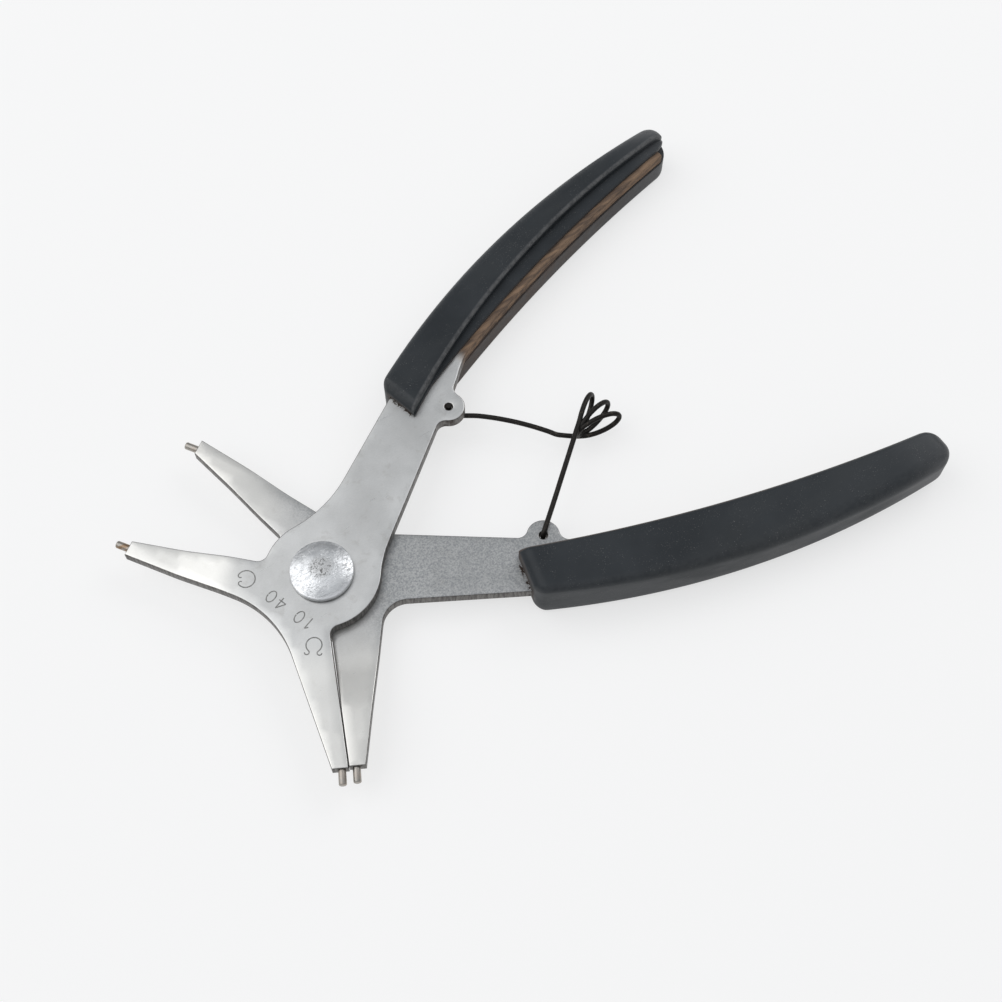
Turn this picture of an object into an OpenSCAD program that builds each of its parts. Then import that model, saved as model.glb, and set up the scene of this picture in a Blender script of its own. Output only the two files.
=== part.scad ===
// Four-jaw circlip pliers: two stamped plates on one rivet, moulded grips and a wire return spring.
// Millimetres. The origin lies on the rivet axis at the level the pliers rest on, +X runs between
// the handles and +Z is up. Plan angles are in degrees, counter-clockwise from +X.

/* [Plates] */
// Thickness of each stamped plate
plate_t = 2.5; // [2:0.1:3.2]
// Running clearance between the two plates
plate_gap = 0.06; // [0.04:0.02:0.2]
// Radius of the round hub about the rivet
hub_r = 11.4; // [9.5:0.1:13]
// Fillet where a jaw's gripping side leaves the hub
hub_fillet_r = 2; // [1:0.25:3]
// Fillet where the handle's edges run into the hub
shoulder_r = 25; // [15:1:40]
// Radius of the hollow between the upper plate's two jaws
front_r = 21.5; // [12:0.5:23]
// Radius of the hollow behind the lower plate's internal jaw
waist_r = 30; // [20:1:36]
// Fillet behind the lower plate's external jaw
crotch_r = 5; // [2:0.5:8]

/* [Jaws] */
// Distance from the rivet axis to the jaw ends
jaw_reach = 38.6; // [34:0.2:46]
// Width of a jaw at its end
jaw_end_w = 3.1; // [2.8:0.1:4]
// Taper of the jaws toward their ends
jaw_taper = 11.4; // [9:0.2:13]
// Taper of the stouter external jaw on the lower plate
stout_taper = 14; // [11:0.2:16]
// Plan angle of the upper internal jaw's gripping side
upper_internal_a = 134.5; // [125:0.5:145]
// Plan angle of the lower internal jaw's gripping side
lower_internal_a = 101.1; // [97:0.1:106]
// Plan angle of the line the external jaws meet on
external_a = -114.5; // [-122:0.5:-108]
// Gap between the closed external jaws
jaw_gap = 0.1; // [0.06:0.02:0.3]
// Where a jaw starts to bend toward the middle plane
bend_start = 18.5; // [18:0.25:21]
// Length of a jaw's slope toward the middle plane
bend_run = 9; // [7:0.5:12]
// Radius of the two bends of a jaw
bend_r = 24; // [10:1:30]

/* [Tip pins] */
// Diameter of the tip pins where they stand out
pin_d = 1.5; // [1.2:0.05:1.8]
// Shoulder of a pin, by which its spigot in the jaw is slimmer all round
pin_shoulder = 0.2; // [0.17:0.01:0.3]
// How far a pin stands out of its jaw
pin_out = 2.9; // [2:0.1:4]
// Depth of a pin in its jaw
pin_depth = 3.5; // [2.5:0.1:4]
// Distance of a pin's root from the jaw's gripping side
pin_inset = 1.3; // [1.25:0.05:1.6]
// Fit of a pin in its hole, all round and under its shoulder
pin_fit = 0.01; // [0.005:0.005:0.03]
// Plan angle of the internal pins
internal_pin_a = 123; // [118:0.5:128]
// Plan angle of the external pins
external_pin_a = -119; // [-122:0.5:-114]
// Chamfer on the end of a pin
pin_chamfer = 0.25; // [0.1:0.05:0.4]

/* [Rivet] */
// Diameter of the rivet's shank
rivet_d = 6; // [5:0.1:8]
// Radial running clearance of the shank
rivet_fit = 0.04; // [0.02:0.01:0.08]
// Diameter of the rivet's domed head
head_d = 12.4; // [10:0.2:15]
// Height of the upright rim of the head
head_rim = 0.9; // [0.5:0.1:1.5]
// Rise of the dome above the rim
head_rise = 1.6; // [1:0.1:2]
// Running clearance under the head
head_gap = 0.05; // [0.02:0.01:0.1]
// Diameter of the peened tail
tail_d = 11; // [9:0.2:14]
// Chamfer round the tail
tail_chamfer = 0.8; // [0.4:0.1:1.2]

/* [Handles] */
// Plan angle of a handle's outer edge by the hub
handle_out_a = 30.6; // [28:0.2:33]
// Distance of that edge from the rivet axis
handle_out_off = 5.6; // [4.5:0.1:7]
// Length of the straight outer edge, from beside the rivet to where the tang starts to curve
handle_straight = 37; // [34:0.5:40]
// Plan angle of a handle's inner edge
handle_in_a = 36.4; // [35:0.2:38]
// Distance of that edge from the rivet axis
handle_in_off = 9.8; // [8.8:0.1:10.6]
// Radius of the tang's inner edge
tang_in_r = 136; // [130:1:142]
// Distance of the spring lug along the inner edge, from beside the rivet
lug_at = 42.4; // [40:0.2:46]
// How far the lug's hole lies beyond the inner edge
lug_out = 0.7; // [0:0.1:1.5]
// Radius of the lug
lug_r = 3.3; // [2.8:0.1:4]
// Diameter of the lug's hole
lug_hole_d = 2.4; // [2:0.1:3]
// Fillets at the foot of the lug
lug_fillet_r = 2; // [1:0.25:3]

/* [Grips] */
// Thickness of a grip
grip_t = 11; // [10:0.2:14]
// Radius of a grip's outer side
grip_out_r = 178.4; // [165:1:195]
// Radius of a grip's wide inner lip
grip_in_r = 358.7; // [330:1:420]
// Width of a grip where the tang starts to curve
grip_front_w = 9.6; // [9:0.1:10.6]
// Width of a grip at its rounded end
grip_end_w = 8; // [7.6:0.1:9]
// Length of a grip's curved outer side
grip_len = 90; // [75:1:105]
// Wall outside the tang
web_t = 2.5; // [2:0.1:3]
// Wall past the end of the tang
end_web = 3; // [2:0.2:5]
// Width of a grip's narrow face at its front
lip_front_w = 8.9; // [8:0.1:9.2]
// Width of the narrow face at its end
lip_end_w = 4.6; // [4.4:0.1:5.4]
// How far the narrow face's inner edge bows out between
lip_bow = 0.6; // [0:0.1:1.2]
// Height of the narrow face above the ledge beside it
lip_rise = 1.9; // [1.85:0.05:2.1]
// How far the ledge stops short of the tang's inner edge, or of the wide lip
ledge_set = 0.5; // [0.2:0.1:1]
// Rounding of a grip's outer edges at its front
grip_edge_front = 1.4; // [0.8:0.1:2.2]
// Rounding of a grip's outer edges at its end
grip_edge_end = 3.4; // [2:0.1:3.6]
// Rounding of a grip's wide inner lip
lip_edge = 1.4; // [0.6:0.1:1.8]
// Rounding of the narrow face's inner edge
ridge_edge = 0.8; // [0.5:0.1:1.1]
// Clearance of the tang in its slot
grip_fit = 0.05; // [0.02:0.01:0.1]
// Plan angle of the axis a grip's front is square to
grip_front_a = 13.9; // [5:0.5:25]
// Distance of a grip's front from the rivet axis along that axis
grip_front_d = 36.7; // [35.5:0.1:38]
// How far the front slopes back toward the faces
front_slope = 2.6; // [1:0.1:4]

/* [Return spring] */
// Diameter of the spring's wire
wire_d = 1.05; // [0.8:0.05:1.3]
// Clearance between the wire and the plates it lies on
wire_gap = 0.05; // [0.02:0.01:0.1]
// Distance of the loops' common side from the rivet axis
spring_at = 59; // [56:0.5:64]
// How far the loops' common side lies toward the lower handle
spring_side = 2.2; // [-1:0.1:4]
// Length of a loop
loop_len = 9.6; // [7:0.1:12]
// Height of a loop between wire centres
loop_h = 4.4; // [3:0.1:6]
// Plan angle of the first loop
loop_first_a = -9; // [-15:1:0]
// Plan angle of the last loop
loop_last_a = 36; // [25:1:40]
// Bend radius of the hooks
hook_r = 1; // [0.8:0.1:1.4]
// How far a hook stands out past its lug
hook_out = 0.3; // [0.1:0.1:0.8]

/* [Hidden] */
$fn = 96;
mid_z = grip_t / 2;
lower_z = mid_z - plate_gap / 2 - plate_t;
upper_z = mid_z + plate_gap / 2;
jaw_z = mid_z - plate_t / 2;
jaw_v = jaw_gap / 2;
arc_tol = 0.005;
press_t = 0.005;

// edges of the upper handle: directions, side normals and the points its arcs start from
out_u = [cos(handle_out_a), sin(handle_out_a)];
out_n = [-out_u.y, out_u.x];
in_u = [cos(handle_in_a), sin(handle_in_a)];
in_n = [in_u.y, -in_u.x];
tang_out = handle_straight * out_u + handle_out_off * out_n;
tang_in = lug_at * in_u + handle_in_off * in_n;
tang_out_r = grip_out_r - web_t;
out_c = tang_out - tang_out_r * out_n;
in_c = tang_in + tang_in_r * in_n;
lug_c = tang_in + lug_out * in_n;

// places along a grip: polar angles about the centre of its outer side
grip_a0 = 90 + handle_out_a;
grip_a1 = grip_a0 - grip_len / grip_out_r * 180 / PI;
tang_a1 = grip_a1 - (grip_end_w / 2 - end_web) / grip_out_r * 180 / PI;
grip_end = out_c + (grip_out_r - grip_end_w / 2) * ray(grip_a1);
grip_front = out_c + (grip_out_r - grip_front_w) * ray(grip_a0);
lip_c = circles_cross(grip_end, grip_in_r + grip_end_w / 2, grip_front, grip_in_r);

function ray(a) = [cos(a), sin(a)];
function unit(v) = v / norm(v);
function cross2(a, b) = a.x * b.y - a.y * b.x;

// where the line through p along d crosses the line through q along e
function crossing(p, d, q, e) = p + cross2(q - p, e) / cross2(d, e) * d;

// the crossing of two circles that lies to the left of the way from centre p to centre q
function circles_cross(p, pr, q, qr) =
    let (d = norm(q - p), u = (q - p) / d, s = (d * d + pr * pr - qr * qr) / (2 * d))
    p + s * u + sqrt(pr * pr - s * s) * [-u.y, u.x];

// a place on a jaw: along its gripping side and across its width, side +1 or -1
function on_jaw(a, side, along, across) = along * ray(a) + side * across * ray(a + 90);
function outer_root(a, side, taper) = on_jaw(a, side, 0, jaw_v + jaw_end_w + jaw_reach * tan(taper));
function outer_tip(a, side) = on_jaw(a, side, jaw_reach, jaw_v + jaw_end_w);

// the two corners of a jaw's end, which is square to its pin
function end_grip(a, side, pin_a) =
    on_jaw(a, side, jaw_reach + jaw_end_w / 2 * tan(side * (pin_a - a)), jaw_v);
function end_back(a, side, taper, pin_a) =
    crossing(outer_root(a, side, taper), outer_tip(a, side) - outer_root(a, side, taper),
             end_grip(a, side, pin_a), ray(pin_a + 90));
function pin_root(a, side, pin_a) =
    crossing(on_jaw(a, side, 0, jaw_v + pin_inset), ray(a), end_grip(a, side, pin_a), ray(pin_a + 90));

// points on the round about c from p to q, counter-clockwise for way +1 and clockwise for -1
function bearing(v) = atan2(v.y, v.x);
function sweep(c, p, q, way) =
    let (r = norm(p - c), a = bearing(p - c), raw = way * (bearing(q - c) - a))
    let (span = raw - 360 * floor(raw / 360), n = max(2, ceil(span / 2 / acos(1 - arc_tol / r))))
    [for (i = [0 : n]) c + r * ray(a + way * span * i / n)];
function last(s) = s[len(s) - 1];
function tail(s) = [for (i = [1 : len(s) - 1]) s[i]];
function inner(s) = [for (i = [1 : len(s) - 2]) s[i]];
function turned(s) = [for (i = [len(s) - 1 : -1 : 0]) s[i]];

// the round of radius r in the hollow corner at k, from the way to p round to the way to q
function hollow(p, k, q, r) =
    let (d = unit(p - k), e = unit(q - k), half = acos(d * e) / 2)
    sweep(k + r / sin(half) * unit(d + e), k + r / tan(half) * d, k + r / tan(half) * e, -1);

// centre of the fillet between the round of radius cr about c and the edge at plan angle a, and its two ends
function foot_c(c, cr, a, off, side, r, way) =
    c + (off + r) * side * ray(a + 90) + way * sqrt(pow(cr + r, 2) - pow(off + r, 2)) * ray(a);
function foot_edge(o, a, side, r) = o - r * side * ray(a + 90);
function foot_round(o, c, r) = o + r * unit(c - o);

// fillets by the hub: from a handle's or a jaw's edge onto the hub, and round the hub between two of them
function hub_foot(a, off, side, r) =
    let (o = foot_c([0, 0], hub_r, a, off, side, r, 1))
    sweep(o, foot_edge(o, a, side, r), foot_round(o, [0, 0], r), -1);
function hub_foot_off(a, off, side, r) =
    let (o = foot_c([0, 0], hub_r, a, off, side, r, 1))
    sweep(o, foot_round(o, [0, 0], r), foot_edge(o, a, side, r), -1);
function hub_round(s, t) = inner(sweep([0, 0], last(s), t[0], 1));

// edge of the upper handle: round the lug, along the tang's inner side, its end and its outer side
lug_o = foot_c(lug_c, lug_r, handle_in_a, -lug_out, -1, lug_fillet_r, -1);
lug_front = sweep(lug_o, foot_edge(lug_o, handle_in_a, -1, lug_fillet_r),
                  foot_round(lug_o, lug_c, lug_fillet_r), -1);
lug_p = circles_cross(lug_c, lug_r + lug_fillet_r, in_c, tang_in_r - lug_fillet_r);
lug_back = sweep(lug_p, foot_round(lug_p, lug_c, lug_fillet_r),
                 lug_p + lug_fillet_r * unit(lug_p - in_c), -1);
tang_to = in_c - out_c;
tang_end = out_c + (grip_out_r - tang_depth(tang_a1)) * ray(tang_a1);
tang_edge = concat(lug_front, inner(sweep(lug_c, last(lug_front), lug_back[0], 1)), lug_back,
                   tail(sweep(in_c, last(lug_back), tang_end, -1)),
                   sweep(out_c, out_c + tang_out_r * ray(tang_a1), tang_out, 1));

// a counter-clockwise outline of [x, y, r] points, each corner rounded to its radius r
module rounded(pts) {
    n = len(pts);
    corners = [for (i = [0 : n - 1])
        let (k = [pts[i].x, pts[i].y], r = pts[i].z)
        let (p = pts[(i + n - 1) % n], q = pts[(i + 1) % n])
        let (d = unit([p.x, p.y] - k), e = unit([q.x, q.y] - k), half = acos(d * e) / 2)
        [k, r, k + r / tan(half) * d, k + r / tan(half) * e, k + r / sin(half) * unit(d + e), cross2(d, e)]];
    difference() {
        union() {
            polygon([for (c = corners) each c[1] > 0 ? [c[2], c[3]] : [c[0]]]);
            for (c = corners) if (c[1] > 0 && c[5] < 0) corner_arc(c);
        }
        for (c = corners) if (c[1] > 0 && c[5] > 0) corner_arc(c);
    }
}

module corner_arc(c) {
    chord = (c[2] + c[3]) / 2;
    intersection() {
        translate(c[4]) circle(c[1], $fn = c[1] > 10 ? 720 : 96);
        polygon([c[2], c[0], c[3], chord + (c[4] - chord) * 0.3]);
    }
}

// the sheet of a plate at the given level: flat about the hub and handle, and bent along each jaw, in side
// view, from that level to the middle plane. Pressing the bend leaves a jaw a hair thicker than the flat.
// side tells to which side of its gripping side the first jaw lies.
module sheet(level, jaws, side) {
    s = [bend_start, level - press_t];
    e = [bend_start + bend_run, jaw_z - press_t];
    up = [0, plate_t + 2 * press_t];
    far = jaw_reach + jaw_end_w + 4;
    edge = bend_start - bend_r * tan(atan(abs(upper_z - jaw_z) / bend_run) / 2) - 0.5;
    reach = tang_out_r;
    corner = crossing(edge * ray(jaws[0]), ray(jaws[0] + 90), edge * ray(jaws[1]), ray(jaws[1] + 90));
    translate([0, 0, level]) linear_extrude(plate_t)
        polygon([corner, edge * ray(jaws[1]) + reach * ray(jaws[1] + 90), [1.2 * reach, 0],
                 edge * ray(jaws[0]) + reach * ray(jaws[0] - 90)]);
    for (k = [0, 1]) rotate([90, 0, jaws[k]]) translate([0, 0, side * (k - 0.5) * hub_r])
        linear_extrude(hub_r + 4, center = true)
            rounded([[edge - 2, s.y, 0], [s.x, s.y, bend_r], [e.x, e.y, bend_r], [far, e.y, 0],
                     [far, e.y + up.y, 0], [e.x, e.y + up.y, bend_r],
                     [s.x, s.y + up.y, bend_r], [edge - 2, s.y + up.y, 0]]);
}

// the pin of a jaw: a slim spigot inside the jaw and a shouldered tip with a chamfered end
module tip_pin(a, side, pin_a) {
    r = pin_d / 2;
    spigot = r - pin_shoulder;
    at_pin(a, side, pin_a) rotate_extrude()
        polygon([[0, -pin_depth], [spigot, -pin_depth], [spigot, pin_fit], [r, pin_fit],
                 [r, pin_out - pin_chamfer], [r - pin_chamfer, pin_out], [0, pin_out]]);
}

module pin_hole(a, side, pin_a) {
    at_pin(a, side, pin_a) translate([0, 0, -pin_depth])
        cylinder(h = pin_depth + pin_out, d = pin_d - 2 * (pin_shoulder - pin_fit));
}

module at_pin(a, side, pin_a) {
    root = pin_root(a, side, pin_a);
    translate([root.x, root.y, mid_z]) rotate([0, 90, pin_a]) children();
}

// corners where the outer sides of the jaws run into each other or into a handle
upper_front = crossing(outer_root(upper_internal_a, 1, jaw_taper),
                       outer_tip(upper_internal_a, 1) - outer_root(upper_internal_a, 1, jaw_taper),
                       outer_root(external_a, -1, jaw_taper),
                       outer_tip(external_a, -1) - outer_root(external_a, -1, jaw_taper));
lower_waist = crossing(outer_root(lower_internal_a, -1, jaw_taper),
                       outer_tip(lower_internal_a, -1) - outer_root(lower_internal_a, -1, jaw_taper),
                       flip(tang_in), flip(in_u));
lower_crotch = crossing(outer_root(external_a, 1, stout_taper),
                        outer_tip(external_a, 1) - outer_root(external_a, 1, stout_taper),
                        flip(tang_out), flip(out_u));
function flip(p) = [p.x, -p.y];

// hollows between the jaws and beside the handles
front = hollow(outer_tip(upper_internal_a, 1), upper_front, outer_tip(external_a, -1), front_r);
crotch = hollow(outer_tip(external_a, 1), lower_crotch, flip(tang_out), crotch_r);
waist = hollow(flip(tang_in), lower_waist, outer_tip(lower_internal_a, -1), waist_r);

// plan of the upper plate, counter-clockwise
function upper_plan() =
    let (out_foot = hub_foot(handle_out_a, handle_out_off, 1, shoulder_r))
    let (in_foot = hub_foot_off(handle_in_a, handle_in_off, -1, shoulder_r))
    let (jaw_off = hub_foot_off(upper_internal_a, -jaw_v, -1, hub_fillet_r))
    let (jaw_on = hub_foot(external_a, -jaw_v, 1, hub_fillet_r))
    concat(tang_edge, out_foot, hub_round(out_foot, jaw_off), jaw_off,
           [end_grip(upper_internal_a, 1, internal_pin_a)],
           [end_back(upper_internal_a, 1, jaw_taper, internal_pin_a)], front,
           [end_back(external_a, -1, jaw_taper, external_pin_a)],
           [end_grip(external_a, -1, external_pin_a)],
           jaw_on, hub_round(jaw_on, in_foot), in_foot);

// plan of the lower plate, counter-clockwise
function lower_plan() =
    let (jaw_on = hub_foot(lower_internal_a, -jaw_v, 1, hub_fillet_r))
    let (jaw_off = hub_foot_off(external_a, -jaw_v, -1, hub_fillet_r))
    concat(crotch, turned([for (p = tang_edge) flip(p)]), waist,
           [end_back(lower_internal_a, -1, jaw_taper, internal_pin_a)],
           [end_grip(lower_internal_a, -1, internal_pin_a)],
           jaw_on, hub_round(jaw_on, jaw_off), jaw_off,
           [end_grip(external_a, 1, external_pin_a)],
           [end_back(external_a, 1, stout_taper, external_pin_a)]);

module rivet_hole() {
    cylinder(h = grip_t, d = rivet_d + 2 * rivet_fit);
}

module lug_hole(y) {
    translate([lug_c.x, y * lug_c.y, 0]) cylinder(h = grip_t, d = lug_hole_d, $fn = 48);
}

module upper_plate() {
    color("#c8cac6") difference() {
        intersection() {
            linear_extrude(grip_t) polygon(upper_plan());
            sheet(upper_z, [upper_internal_a, external_a], 1);
        }
        rivet_hole();
        lug_hole(1);
        pin_hole(upper_internal_a, 1, internal_pin_a);
        pin_hole(external_a, -1, external_pin_a);
    }
}

module lower_plate() {
    color("#bfc1bd") difference() {
        intersection() {
            linear_extrude(grip_t) polygon(lower_plan());
            sheet(lower_z, [lower_internal_a, external_a], -1);
        }
        rivet_hole();
        lug_hole(-1);
        pin_hole(lower_internal_a, -1, internal_pin_a);
        pin_hole(external_a, 1, external_pin_a);
    }
}

// the rivet: a low dome with an upright rim above, a chamfered button peened below
module pivot_rivet() {
    seat = upper_z + plate_t + head_gap;
    head_r = head_d / 2;
    dome_r = (pow(head_r, 2) + pow(head_rise, 2)) / (2 * head_rise);
    color("#d6d8d9") rotate_extrude() {
        polygon([[0, 0], [tail_d / 2 - tail_chamfer, 0], [tail_d / 2, tail_chamfer], [tail_d / 2, lower_z],
                 [rivet_d / 2, lower_z], [rivet_d / 2, seat], [head_r, seat], [head_r, seat + head_rim],
                 [0, seat + head_rim]]);
        intersection() {
            translate([0, seat + head_rim + head_rise - dome_r]) circle(dome_r, $fn = 240);
            translate([0, seat]) square([head_r, head_rim + head_rise]);
        }
    }
}

// width of a grip, from its outer side to its wide lip, at a polar angle about the outer side's centre
function grip_w(a) =
    let (d = lip_c - out_c, b = ray(a) * d)
    grip_out_r - b - sqrt(b * b - d * d + grip_in_r * grip_in_r);

// depth of the tang's inner edge under the grip's outer side
function tang_depth(a) =
    let (b = ray(a) * tang_to)
    grip_out_r - b - sqrt(b * b - tang_to * tang_to + tang_in_r * tang_in_r);

// how far a polar angle lies past the centre of the rounded end
function past_end(a) = (grip_a1 - a) * grip_out_r * PI / 180;
function grip_at(past) = grip_a1 - past / grip_out_r * 180 / PI;
function quarter(r) = [for (t = [0 : 22.5 : 90]) r * [1 - cos(t), 1 - sin(t)]];

// cross-section of the upper grip as [depth from the outer side, height]: down the outer side, along the
// bottom to the wide lip, into the slot and out, over the ledge and up its step, and along the narrow face
function grip_section(a) =
    let (past = max(0, past_end(a)), end_r = grip_end_w / 2)
    let (run = min((grip_a0 - a) / (grip_a0 - grip_a1), 1))
    let (low = end_r - sqrt(max(0.1, end_r * end_r - past * past)), high = grip_w(a) - low)
    let (share = (high - low) / grip_w(a), foot = low + share * (min(grip_w(a), tang_depth(a)) - ledge_set))
    let (back = low + share * (mix(lip_front_w, lip_end_w, run) + 4 * lip_bow * run * (1 - run)))
    let (out_e = share * mix(grip_edge_front, grip_edge_end, run), in_e = share * lip_edge)
    let (slot = a < slot_a ? back - 0.2 * share : web_t - grip_fit)
    let (turn = max(0, past - end_r + grip_edge_end))
    let (flat = 1 - (grip_edge_end - sqrt(pow(grip_edge_end, 2) - turn * turn)) / mid_z)
    let (raw = concat(
        [[low, max(slope_low, out_e + 0.1)]],
        [for (p = quarter(out_e)) [low + p.x, p.y]],
        [for (i = [4 : -1 : 0]) let (p = quarter(in_e)[i]) [high - p.x, p.y]],
        [[high, slope_low], [high, slot_low], [slot, slot_low], [slot, slot_high]],
        [[foot, slot_high], [foot, grip_t - lip_rise], [back, grip_t - lip_rise]],
        [for (p = quarter(share * ridge_edge)) [back - p.x, grip_t - p.y]],
        [for (i = [4 : -1 : 0]) let (p = quarter(out_e)[i]) [low + p.x, grip_t - p.y]],
        [[low, min(slot_high, grip_t - out_e - 0.1)]]))
    [for (p = raw) [p.x, mid_z + (p.y - mid_z) * flat]];
slot_low = upper_z - grip_fit;
slot_high = upper_z + plate_t + grip_fit;
slope_low = grip_t - slot_high;
slot_a = grip_at(past_end(tang_a1) + grip_fit);

function grip_point(a, p) =
    [out_c.x + (grip_out_r - p.x) * cos(a), out_c.y + (grip_out_r - p.x) * sin(a), p.y];

// a point of the section carried along the grip to its front, which slopes back toward both faces
function front_point(k, a, tries) =
    let (s = grip_section(a)[k], p = grip_point(a, s), square = ray(grip_front_a))
    let (rise = max(0, s.y - slot_high, slope_low - s.y) / slope_low)
    let (over = p.x * square.x + p.y * square.y - grip_front_d - front_slope * rise)
    let (step = over * 180 / PI / ((grip_out_r - s.x) * (square * ray(a - 90))))
    tries == 0 ? p : front_point(k, a + step, tries - 1);

// the grip of the upper handle: a channel with a wide lip below the tang and a stepped narrow one above it
module grip() {
    first = grip_a0 - (grip_front_d * 0.02 + front_slope + grip_front_w / 2) / grip_out_r * 180 / PI;
    last = asin(max(0, past_end(slot_a) + 0.4) / grip_end_w * 2);
    stations = concat([for (i = [0 : 28]) mix(first, slot_a, i / 28)], [slot_a - 0.1],
                      [for (i = [1 : 5]) grip_at(grip_end_w / 2 * sin(mix(last, 75, i / 5)))]);
    m = len(grip_section(first));
    n = len(stations) + 1;
    tip_a = grip_at(grip_end_w / 2 * sin(80));
    tip = grip_section(tip_a);
    skin = concat([for (k = [0 : m - 1]) front_point(k, grip_a0 - 1, 5)],
                  [for (a = stations) each [for (p = grip_section(a)) grip_point(a, p)]],
                  [grip_point(tip_a, [mix(tip[0].x, tip[13].x, 0.5), mid_z])]);
    walls = [for (i = [0 : n - 2]) for (k = [0 : m - 1])
        each [[i * m + k, i * m + (k + 1) % m, (i + 1) * m + k],
              [(i + 1) * m + k, i * m + (k + 1) % m, (i + 1) * m + (k + 1) % m]]];
    front = [[for (k = [11 : -1 : 0]) k], [m - 1, 14, 13, 12, 11, 0], [for (k = [m - 1 : -1 : 14]) k]];
    end = [for (k = [0 : m - 1]) [n * m, (n - 1) * m + k, (n - 1) * m + (k + 1) % m]];
    polyhedron(skin, concat(walls, front, end), convexity = 6);
}

module upper_grip() {
    color("#17181b") grip();
}

module lower_grip() {
    color("#17181b") translate([0, 0, grip_t]) rotate([180, 0, 0]) grip();
}

// the spring's wire: down through the upper lug, along its leg, round three upright loops that fan out
// from one common side, and along the other leg into the lower lug
wire_low = upper_z - wire_gap - wire_d / 2;
wire_high = lower_z + plate_t + wire_gap + wire_d / 2;
loop_c = [spring_at, -spring_side];
lug_b = flip(lug_c);
loop_in = 60;
function loop_point(t) =
    let (a = loop_first_a + (loop_last_a - loop_first_a) * (t - 180) / 720, rho = loop_len * (1 - cos(t)) / 2)
    [loop_c.x + rho * cos(a), loop_c.y + rho * sin(a), mid_z - loop_h / 2 * sin(t)];
function flat(p) = [p.x, p.y];
function mix(p, q, t) = p + (q - p) * t;
function bent(p, k, q, t) = mix(mix(p, k, t), mix(k, q, t), t);

leg_a = unit(loop_c - lug_c);
leg_b = unit(lug_b - flat(loop_point(1080 - loop_in)));
turn_a = loop_c - 4 * leg_a;
wire = concat(
    [[lug_c.x, lug_c.y, upper_z + plate_t + hook_out]],
    [for (t = [0 : 15 : 90]) let (s = hook_r * (1 - cos(t)))
        [lug_c.x + s * leg_a.x, lug_c.y + s * leg_a.y, wire_low + hook_r * (1 - sin(t))]],
    [for (t = [0.25, 0.5, 0.75]) let (p = mix(lug_c + hook_r * leg_a, turn_a, t))
        [p.x, p.y, mix(wire_low, loop_point(loop_in).z, t * 0.8)]],
    [for (t = [0 : 0.125 : 0.875])
        bent([turn_a.x, turn_a.y, mix(wire_low, loop_point(loop_in).z, 0.8)],
             loop_point(loop_in) - 2.2 * unit(loop_point(loop_in + 4) - loop_point(loop_in)),
             loop_point(loop_in), t)],
    [for (t = [loop_in : 15 : 1080 - loop_in]) loop_point(t)],
    [for (t = [0.1, 0.25, 0.5, 0.75])
        let (p = mix(flat(loop_point(1080 - loop_in)), lug_b - hook_r * leg_b, t))
        [p.x, p.y, mix(loop_point(1080 - loop_in).z, wire_high, min(1, t * 1.33))]],
    [for (t = [90 : -15 : 0]) let (s = hook_r * (1 - cos(t)))
        [lug_b.x - s * leg_b.x, lug_b.y - s * leg_b.y, wire_high - hook_r * (1 - sin(t))]],
    [[lug_b.x, lug_b.y, lower_z - hook_out]]);

function heading(i) = unit(wire[min(i + 1, len(wire) - 1)] - wire[max(i - 1, 0)]);
function carried(i, v) =
    i == len(wire) ? [] : let (t = heading(i), m = unit(v - (v * t) * t)) concat([m], carried(i + 1, m));

module return_spring() {
    sides = 10;
    n = len(wire);
    across = carried(0, [1, 0, 0]);
    rings = [for (i = [0 : n - 1]) let (b = cross(heading(i), across[i]))
        for (j = [0 : sides - 1])
            wire[i] + wire_d / 2 * (cos(j * 360 / sides) * across[i] + sin(j * 360 / sides) * b)];
    walls = [for (i = [0 : n - 2]) for (j = [0 : sides - 1])
        [i * sides + j, i * sides + (j + 1) % sides, (i + 1) * sides + (j + 1) % sides, (i + 1) * sides + j]];
    ends = [[for (j = [sides - 1 : -1 : 0]) j], [for (j = [0 : sides - 1]) (n - 1) * sides + j]];
    color("#1e1d1c") polyhedron(rings, concat(walls, ends), convexity = 8);
}

module internal_pin_upper() {
    color("#8b857d") tip_pin(upper_internal_a, 1, internal_pin_a);
}

module internal_pin_lower() {
    color("#8b857d") tip_pin(lower_internal_a, -1, internal_pin_a);
}

module external_pin_upper() {
    color("#8b857d") tip_pin(external_a, -1, external_pin_a);
}

module external_pin_lower() {
    color("#8b857d") tip_pin(external_a, 1, external_pin_a);
}

upper_plate();
lower_plate();
pivot_rivet();
upper_grip();
lower_grip();
return_spring();
internal_pin_upper();
internal_pin_lower();
external_pin_upper();
external_pin_lower();
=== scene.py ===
import bpy
import numpy as np
from mathutils import Matrix, Vector
from mathutils.geometry import delaunay_2d_cdt


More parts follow.
